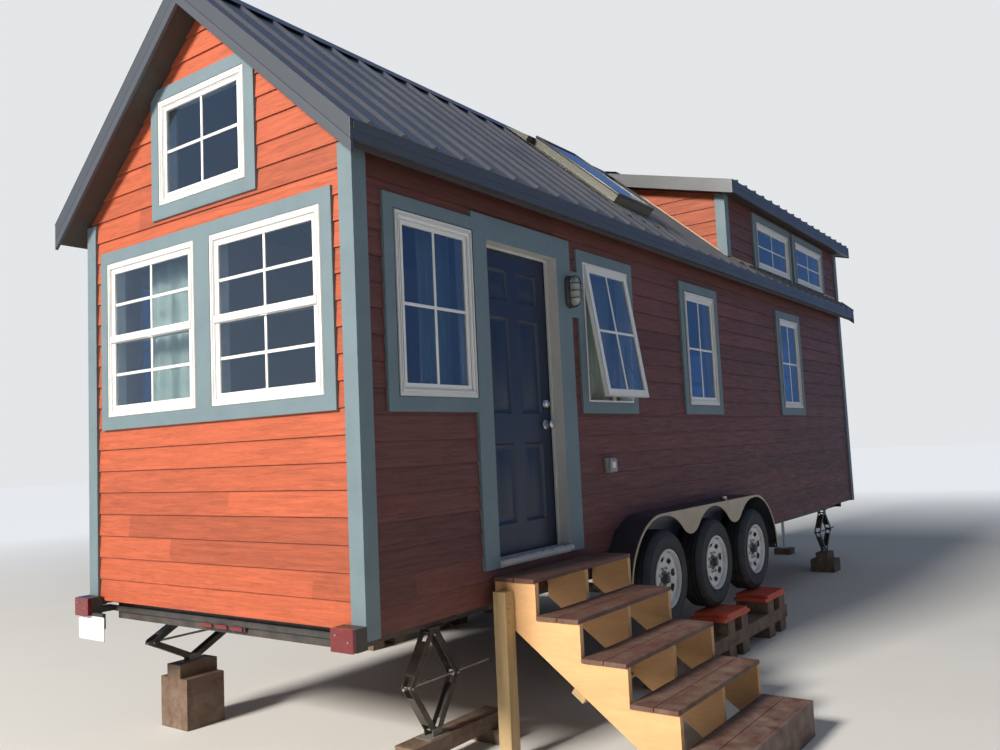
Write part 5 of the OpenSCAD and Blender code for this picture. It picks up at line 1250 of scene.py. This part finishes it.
class TINYHOUSE_OT_fenders(bpy.types.Operator):
    """Paints the fenders and their skirts, and sets a marker lamp and bolts on each"""
    bl_idname = "tinyhouse.fenders"
    bl_label = "Fenders"

    def execute(self, context):
        dress("fender_paint", "fenders")
        dress("skirt", "fender_skirts")
        soften(0.0015, "fender_skirts")
        for far, side in ((False, "door"), (True, "far")):
            flip = FAR_SIDE if far else Matrix()
            start, end = MARKER
            bm = bmesh.new()
            rounded_block(bm, (start, -0.236, FENDER_TOP), (end, -0.204, FENDER_TOP + 0.014), 0.004)
            bm.transform(flip)
            add_piece(f"marker_base_{side}", bm, "lens", "house", smooth=35, merge=False)
            bm = bmesh.new()
            rounded_block(bm, (start + 0.006, -0.233, FENDER_TOP + 0.014),
                          (end - 0.006, -0.207, FENDER_TOP + 0.038), 0.008, 3)
            bm.transform(flip)
            add_piece(f"marker_lens_{side}", bm, "marker_glass", "house", smooth=45, merge=False)
            bm = bmesh.new()
            for aside, z in FENDER_BOLTS:
                x = FENDER_MIDDLE + aside
                rod(bm, (x, -0.2415, z), (x, -0.2335, z), 0.008, 6)
            bm.transform(flip)
            add_piece(f"fender_bolts_{side}", bm, "zinc", "house", merge=False)
        return {"FINISHED"}


class TINYHOUSE_OT_lights(bpy.types.Operator):
    """Finishes the tail lights and their screws, and adds the plain plate's rim and bolts"""
    bl_idname = "tinyhouse.lights"
    bl_label = "Lights and plate"

    def execute(self, context):
        dress("black_paint", "light_housings")
        dress("lens", "light_lenses")
        soften(0.005, "light_lenses")
        dress("plate", "number_plate")
        low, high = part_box("number_plate")
        low, high = low - CORNER, high - CORNER
        bm = bmesh.new()
        rim = 0.004
        for a, b in (((low.y, low.z), (high.y, low.z + rim)), ((low.y, high.z - rim), (high.y, high.z)),
                     ((low.y, low.z), (low.y + rim, high.z)), ((high.y - rim, low.z), (high.y, high.z))):
            block(bm, (low.x - 0.0015, a[0], a[1]), (low.x + 0.001, b[0], b[1]))
        for y in (low.y + 0.062, high.y - 0.062):
            rod(bm, (low.x + 0.001, y, high.z - 0.020), (low.x - 0.004, y, high.z - 0.020), 0.006, 12)
        add_piece("plate_rim", bm, "plate", "house", merge=False)
        # Two screws at opposite corners of each tail light
        bm = bmesh.new()
        for middle in (0.047, WIDTH - 0.047):
            for z, aside in ((0.900, -0.045), (0.930, 0.045)):
                rod(bm, (-0.1275, middle + aside, z), (-0.1298, middle + aside, z), 0.005, 12)
        add_piece("lens_screws", bm, "zinc", "house", merge=False)
        return {"FINISHED"}


class TINYHOUSE_OT_trailer(bpy.types.Operator):
    """Paints the frame, axles, coupler and front jacks, and adds the springs' bolts"""
    bl_idname = "tinyhouse.trailer"
    bl_label = "Trailer"

    def execute(self, context):
        dress("chassis", "trailer_frame", "axles", "coupler", "front_jacks")
        dress("zinc", "tongue_jack")
        soften(0.002, "coupler")
        # U-bolts' legs and their nuts at the springs' saddles
        bm = bmesh.new()
        for wheel in WHEELS:
            for spring in (0.235, WIDTH - 0.235):
                for x in (wheel - 0.045, wheel + 0.045):
                    for y in (spring - 0.038, spring + 0.038):
                        rod(bm, (x, y, 0.600), (x, y, 0.745), 0.006, 10)
                        rod(bm, (x, y, 0.603), (x, y, 0.614), 0.011, 6)
        add_piece("spring_bolts", bm, "zinc", "house", merge=False)
        return {"FINISHED"}


class TINYHOUSE_OT_jacks(bpy.types.Operator):
    """Paints the scissor jacks and eases their edges"""
    bl_idname = "tinyhouse.jacks"
    bl_label = "Scissor jacks"

    def execute(self, context):
        for side in ("door", "far"):
            jack = f"{side}_jack_"
            dress("jack_black", *[jack + part for part in ("arm_a", "arm_b", "arm_c", "arm_d")])
            dress("jack_base", jack + "base")
            dress("thread", jack + "screw")
            dress("zinc", jack + "nut")
            soften(0.001, *[jack + part for part in ("arm_a", "arm_b", "arm_c", "arm_d", "base")])
        return {"FINISHED"}


class TINYHOUSE_OT_blocks(bpy.types.Operator):
    """Paints the levelling pads and the timber under the wheels and jacks"""
    bl_idname = "tinyhouse.blocks"
    bl_label = "Pads and timber"

    def execute(self, context):
        dress("timber", "timber_blocks")
        soften(0.004, "timber_blocks")
        dress("pad", "leveller_pads")
        return {"FINISHED"}


class TINYHOUSE_OT_stairs(bpy.types.Operator):
    """Finishes the treads, stringers and post, and adds screws and dark discs of painted shade for holes"""
    bl_idname = "tinyhouse.stairs"
    bl_label = "Stairs"

    def execute(self, context):
        dress("tread", "stair_treads")
        dress("fir", "stair_stringers")
        dress("post", "stair_post")
        soften(0.003, "stair_treads", "stair_post")
        soften(0.002, "stair_stringers")
        rise = STAIRS_TOP / TREADS
        bm = bmesh.new()
        for i in range(TREADS):
            top = STAIRS_TOP - i * rise
            for x in (STAIRS_START + 0.031, STAIRS_START + STAIRS_WIDTH / 2, STAIRS_START + STAIRS_WIDTH - 0.031):
                for y in (0.040, 0.110, 0.180, 0.255):
                    spot = Vector((x, -CASING - i * TREAD_RUN - y, top))
                    rod(bm, spot + Vector((0, 0, -0.003)), spot + Vector((0, 0, 0.0006)), 0.0042, 10)
        add_piece("tread_screws", bm, "screw_dark", "house", merge=False)
        # Dark discs in the post's outer face, painted shade standing in for holes
        bm = bmesh.new()
        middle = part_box("stair_post")[0].x - CORNER.x + 0.0445
        y = -CASING - 0.136
        for z, aside in ((0.905, 0.02), (0.880, 0.0), (0.800, 0.0)):
            x = middle - 0.012 + aside
            rod(bm, (x, y + 0.004, z), (x, y - 0.0003, z), 0.0045, 12)
        add_piece("post_hole_shade_discs", bm, "screw_dark", "house", merge=False)
        return {"FINISHED"}


class TINYHOUSE_OT_finishes(bpy.types.Operator):
    """Makes the node groups and every material of the house"""
    bl_idname = "tinyhouse.finishes"
    bl_label = "Finishes"

    def execute(self, context):
        sizes, hues = context.scene.tiny_house_sizes, context.scene.tiny_house_colours
        make_groups()
        MATERIALS.update({
            "siding": siding("Siding stain in painted shade", hues.stain, SIDE_BOTTOM, sizes.exposure),
            "siding_sun": siding("Gable stain, sunlit copy", hues.stain_gable_sunlit, END_BOTTOM, sizes.exposure),
            "lining": wooden("Pine lining", (0.60, 0.46, 0.30), (0.42, 0.28, 0.16), (2.0, 2.0, 14.0), 0.6),
            "floorboards": wooden("Floor boards", (0.36, 0.22, 0.12), (0.20, 0.11, 0.06), (2.0, 20.0, 20.0), 0.7),
            "trim": coated("Trim paint", hues.trim, shade(hues.trim, 0.72), 0.4, 5.0, 0.6, 0.2, texture=0.35,
                           dust_top=1.4, dust=0.25),
            "roof_metal": ribbed_metal("Roof paint", hues.roof),
            "fascia": folded("Edge board paint", hues.fascia),
            "soffit": wooden("Soffit boards", (0.060, 0.045, 0.036), (0.030, 0.022, 0.018), (2.0, 10.0, 10.0), 0.6),
            "vinyl": coated("White vinyl", (0.78, 0.78, 0.77), (0.62, 0.61, 0.58), 0.25, 4.0, 0.32, 0.12, texture=0.05),
            "glass": glazing("Window glass", (0.36, 0.44, 0.52)),
            "curtain": cloth("Curtain cloth", (0.52, 0.56, 0.44)),
            "door_paint": coated("Door paint", hues.door, shade(hues.door, 1.8), 0.3, 5.0, 0.38, 0.15, texture=0.25),
            "surround": surround("Doorway paint", (0.56, 0.55, 0.53), hues.trim),
            "nickel": coated("Satin nickel", (0.62, 0.60, 0.57), (0.45, 0.43, 0.40), 0.3, 30.0, 0.28, 0.15, 1.0),
            "rubber": coated("Strip rubber", (0.03, 0.03, 0.03), None, 0.3, 20.0, 0.7, 0.1),
            "lamp_metal": coated("Lamp paint", (0.035, 0.035, 0.037), (0.07, 0.07, 0.07), 0.4, 25.0, 0.42, 0.2),
            "lamp_glass": coated("Lamp glass", (0.34, 0.35, 0.33), (0.24, 0.25, 0.23), 0.4, 20.0, 0.16, 0.1, coat=0.5),
            "box_grey": coated("Box plastic", (0.30, 0.31, 0.32), (0.22, 0.22, 0.22), 0.4, 20.0, 0.45, 0.15),
            "tyre": rubber("Tyre rubber"),
            "rim_white": coated("Wheel enamel", (0.70, 0.71, 0.73), (0.45, 0.43, 0.40), 0.35, 9.0, 0.3, 0.2,
                                dust_top=1.1, dust=0.35),
            "black_paint": coated("Black enamel", (0.022, 0.022, 0.024), (0.06, 0.055, 0.05), 0.4, 14.0, 0.4, 0.2,
                                  dust_top=1.3, dust=0.3),
            "chassis": coated("Frame paint", (0.020, 0.020, 0.022), (0.07, 0.05, 0.04), 0.5, 7.0, 0.5, 0.25,
                              texture=0.3, dust_top=1.2, dust=0.5),
            "fender_paint": coated("Fender paint", (0.016, 0.020, 0.032), (0.04, 0.045, 0.06), 0.4, 6.0, 0.32, 0.2,
                                   dust_top=1.5, dust=0.3),
            # The skirts are a light sheet whose tan hue is a painted reflection of the ground
            "skirt": coated("Skirt sheet with painted ground reflection", (0.40, 0.34, 0.24), (0.30, 0.25, 0.18), 0.5, 5.0, 0.42, 0.2, 0.0,
                            dust_top=1.4, dust=0.35),
            "zinc": coated("Zinc plate", (0.50, 0.50, 0.50), (0.32, 0.30, 0.27), 0.5, 30.0, 0.4, 0.25, 0.9,
                           dust_top=1.2, dust=0.3),
            "thread": lens("Jack screw", (0.30, 0.28, 0.25), 120.0),
            "jack_black": coated("Jack paint", (0.024, 0.024, 0.025), (0.10, 0.06, 0.04), 0.35, 16.0, 0.45, 0.25,
                                 texture=0.3, dust_top=0.9, dust=0.45),
            "jack_base": coated("Jack foot", (0.16, 0.17, 0.15), (0.10, 0.08, 0.06), 0.5, 18.0, 0.55, 0.2,
                                dust_top=0.9, dust=0.5),
            "lens": lens("Red lens", (0.17, 0.004, 0.006), 60.0),
            "marker_glass": lens("Marker lens", (0.72, 0.62, 0.50), 70.0),
            "plate": coated("Plate enamel", (0.72, 0.74, 0.78), (0.60, 0.62, 0.66), 0.3, 12.0, 0.3, 0.1),
            "pad": coated("Pad plastic", hues.pad, shade(hues.pad, 0.6), 0.5, 12.0, 0.5, 0.2, texture=0.4,
                          dust_top=0.7, dust=0.45),
            "timber": wooden("Sleeper timber", (0.17, 0.10, 0.065), (0.08, 0.045, 0.03), (3.0, 18.0, 18.0), 0.8, 0.8,
                             0.5, 0.6, 0.6, 0.003),
            "fir": wooden("Sawn fir", hues.fir, shade(hues.fir, 0.62), (9.0, 1.6, 9.0), 0.6, 0.6, 0.25, 0.5, 0.25),
            "post": wooden("Treated post", (0.52, 0.38, 0.19), (0.34, 0.22, 0.10), (14.0, 14.0, 1.4), 0.75, 0.65, 0.35,
                           0.4, 0.3),
            "tread": wooden("Composite boards", hues.tread, shade(hues.tread, 0.6), (2.5, 30.0, 30.0), 0.7, 0.6, 0.6,
                            1.6, 0.55, 0.002),
            "screw_dark": coated("Dark screws", (0.05, 0.045, 0.04), None, 0.4, 60.0, 0.5, 0.2, 0.8),
            "flashing": coated("Flashing metal", (0.095, 0.094, 0.078), (0.070, 0.066, 0.055), 0.5, 7.0, 0.4, 0.25, 0.3,
                               texture=0.2),
        })
        return {"FINISHED"}


class TINYHOUSE_OT_stage(bpy.types.Operator):
    """Sets the plain floor, the soft lamps, the world and the camera"""
    bl_idname = "tinyhouse.stage"
    bl_label = "Studio"

    def execute(self, context):
        scene = context.scene
        scene.view_settings.view_transform = "Standard"
        hue = scene.tiny_house_colours.floor
        bm = bmesh.new()
        bmesh.ops.create_grid(bm, x_segments=1, y_segments=1, size=90.0)
        bmesh.ops.translate(bm, vec=(0, 0, -0.0005), verts=bm.verts[:])
        mesh = bpy.data.meshes.new("studio_floor")
        bm.to_mesh(mesh)
        bm.free()
        floor = bpy.data.objects.new("studio_floor", mesh)
        scene.collection.objects.link(floor)
        material, r, sockets, place = new_material("Studio floor", hue, 0.9)
        # Far away the floor runs into the pale background
        far = r.span(r.add("ShaderNodeVectorMath", {0: place}, operation="LENGTH").outputs["Value"], 7.5, 20.0)
        near = r.mix(r.span(r.noise(place, 0.7, 4.0), 0.3, 0.7), rgba(hue), rgba(shade(hue, 0.96)))
        r.put(sockets["Base Color"], r.mix(far, near, (0, 0, 0, 1)))
        r.put(sockets["Emission Color"], r.mix(far, (0, 0, 0, 1), (0.774, 0.792, 0.81, 1)))
        sockets["Emission Strength"].default_value = 1.0
        mesh.materials.append(material)

        world = bpy.data.worlds.new("Studio sky")
        scene.world = world
        world.use_nodes = True
        recipe = Recipe(world.node_tree)
        background = world.node_tree.nodes["Background"]
        direct = recipe.add("ShaderNodeLightPath").outputs
        seen = recipe.maths("MAXIMUM", direct["Is Camera Ray"], direct["Is Transmission Ray"])
        glossy = direct["Is Glossy Ray"]
        strength = recipe.span(recipe.maths("MAXIMUM", seen, glossy), 0.0, 1.0, 0.12, 0.90)
        recipe.put(background.inputs["Strength"], strength)
        # What the panes mirror: pale behind the house, a deeper blue beside it
        aim = recipe.add("ShaderNodeTexCoord").outputs["Generated"]
        aim = recipe.add("ShaderNodeSeparateXYZ", {"Vector": aim}).outputs
        side = recipe.mix(recipe.span(aim["X"], -0.7, 0.5), (0.50, 0.66, 0.86, 1), (0.10, 0.22, 0.52, 1))
        sky = recipe.mix(recipe.span(aim["Z"], 0.0, 0.8), side, (0.09, 0.19, 0.44, 1))
        plain = recipe.mix(seen, (0.76, 0.86, 1.0, 1), (0.86, 0.88, 0.90, 1))
        recipe.put(background.inputs["Color"], recipe.mix(glossy, plain, sky))

        # Each lamp's place, what it aims at, its size, power and tint
        lamps = [("key", (-35.7, 4.8, 19.0), (-4.2, 0.2, 1.6), 6.5, 21500.0, (1.0, 0.94, 0.84)),
                 ("fill", (-3.0, -13.0, 6.0), (0.0, 0.0, 1.8), 9.0, 60.0, (0.80, 0.89, 1.0)),
                 ("top", (1.0, -4.0, 13.0), (0.5, 0.0, 2.0), 9.0, 110.0, (0.84, 0.92, 1.0))]
        for name, place, target, size, power, tint in lamps:
            light = bpy.data.lights.new(name, "AREA")
            light.size = size
            light.energy = power
            light.color = tint
            lamp = bpy.data.objects.new(name, light)
            lamp.location = place
            lamp.rotation_euler = (Vector(target) - Vector(place)).to_track_quat("-Z", "Y").to_euler()
            scene.collection.objects.link(lamp)

        camera = bpy.data.cameras.new("camera")
        camera.sensor_width = SENSOR
        camera.lens = CAMERA_FOCAL / PICTURE_WIDTH * SENSOR
        camera.clip_end = 300.0
        holder = bpy.data.objects.new("camera", camera)
        yaw, pitch, roll = (math.radians(a) for a in CAMERA_TURN)
        ahead = Vector((math.cos(yaw) * math.cos(pitch), math.sin(yaw) * math.cos(pitch), math.sin(pitch)))
        right = Vector((math.sin(yaw), -math.cos(yaw), 0.0))
        up = right.cross(ahead)
        level = math.cos(roll) * right + math.sin(roll) * up
        upright = -math.sin(roll) * right + math.cos(roll) * up
        turn = Matrix((level, upright, -ahead)).transposed().to_4x4()
        holder.matrix_world = Matrix.Translation(CORNER + Vector(CAMERA_PLACE)) @ turn
        scene.collection.objects.link(holder)
        scene.camera = holder
        return {"FINISHED"}


STEPS = [TINYHOUSE_OT_finishes, TINYHOUSE_OT_stage, TINYHOUSE_OT_siding, TINYHOUSE_OT_roof, TINYHOUSE_OT_windows,
         TINYHOUSE_OT_skylight, TINYHOUSE_OT_door, TINYHOUSE_OT_fittings, TINYHOUSE_OT_wheels, TINYHOUSE_OT_fenders,
         TINYHOUSE_OT_lights, TINYHOUSE_OT_trailer, TINYHOUSE_OT_jacks, TINYHOUSE_OT_blocks, TINYHOUSE_OT_stairs]


class TINYHOUSE_PT_panel(bpy.types.Panel):
    """Lists the sizes, the colours and the steps that build the house"""
    bl_label = "Tiny House"
    bl_idname = "TINYHOUSE_PT_panel"
    bl_space_type = "VIEW_3D"
    bl_region_type = "UI"
    bl_category = "Tiny House"

    def draw(self, context):
        for group in (context.scene.tiny_house_sizes, context.scene.tiny_house_colours):
            for name in group.__annotations__:
                self.layout.prop(group, name)
        for step in STEPS:
            self.layout.operator(step.bl_idname)


CLASSES = [HouseSizes, HouseColours, *STEPS, TINYHOUSE_PT_panel]


def register():
    """Registers the classes and hangs the settings on the scene."""
    for cls in CLASSES:
        bpy.utils.register_class(cls)
    bpy.types.Scene.tiny_house_sizes = PointerProperty(type=HouseSizes)
    bpy.types.Scene.tiny_house_colours = PointerProperty(type=HouseColours)


def unregister():
    """Takes away what register made."""
    del bpy.types.Scene.tiny_house_sizes
    del bpy.types.Scene.tiny_house_colours
    for cls in reversed(CLASSES):
        bpy.utils.unregister_class(cls)


def main():
    """Builds the house step by step."""
    register()
    for step in STEPS:
        group, name = step.bl_idname.split(".")
        getattr(getattr(bpy.ops, group), name)()


if __name__ == "__main__":
    main()
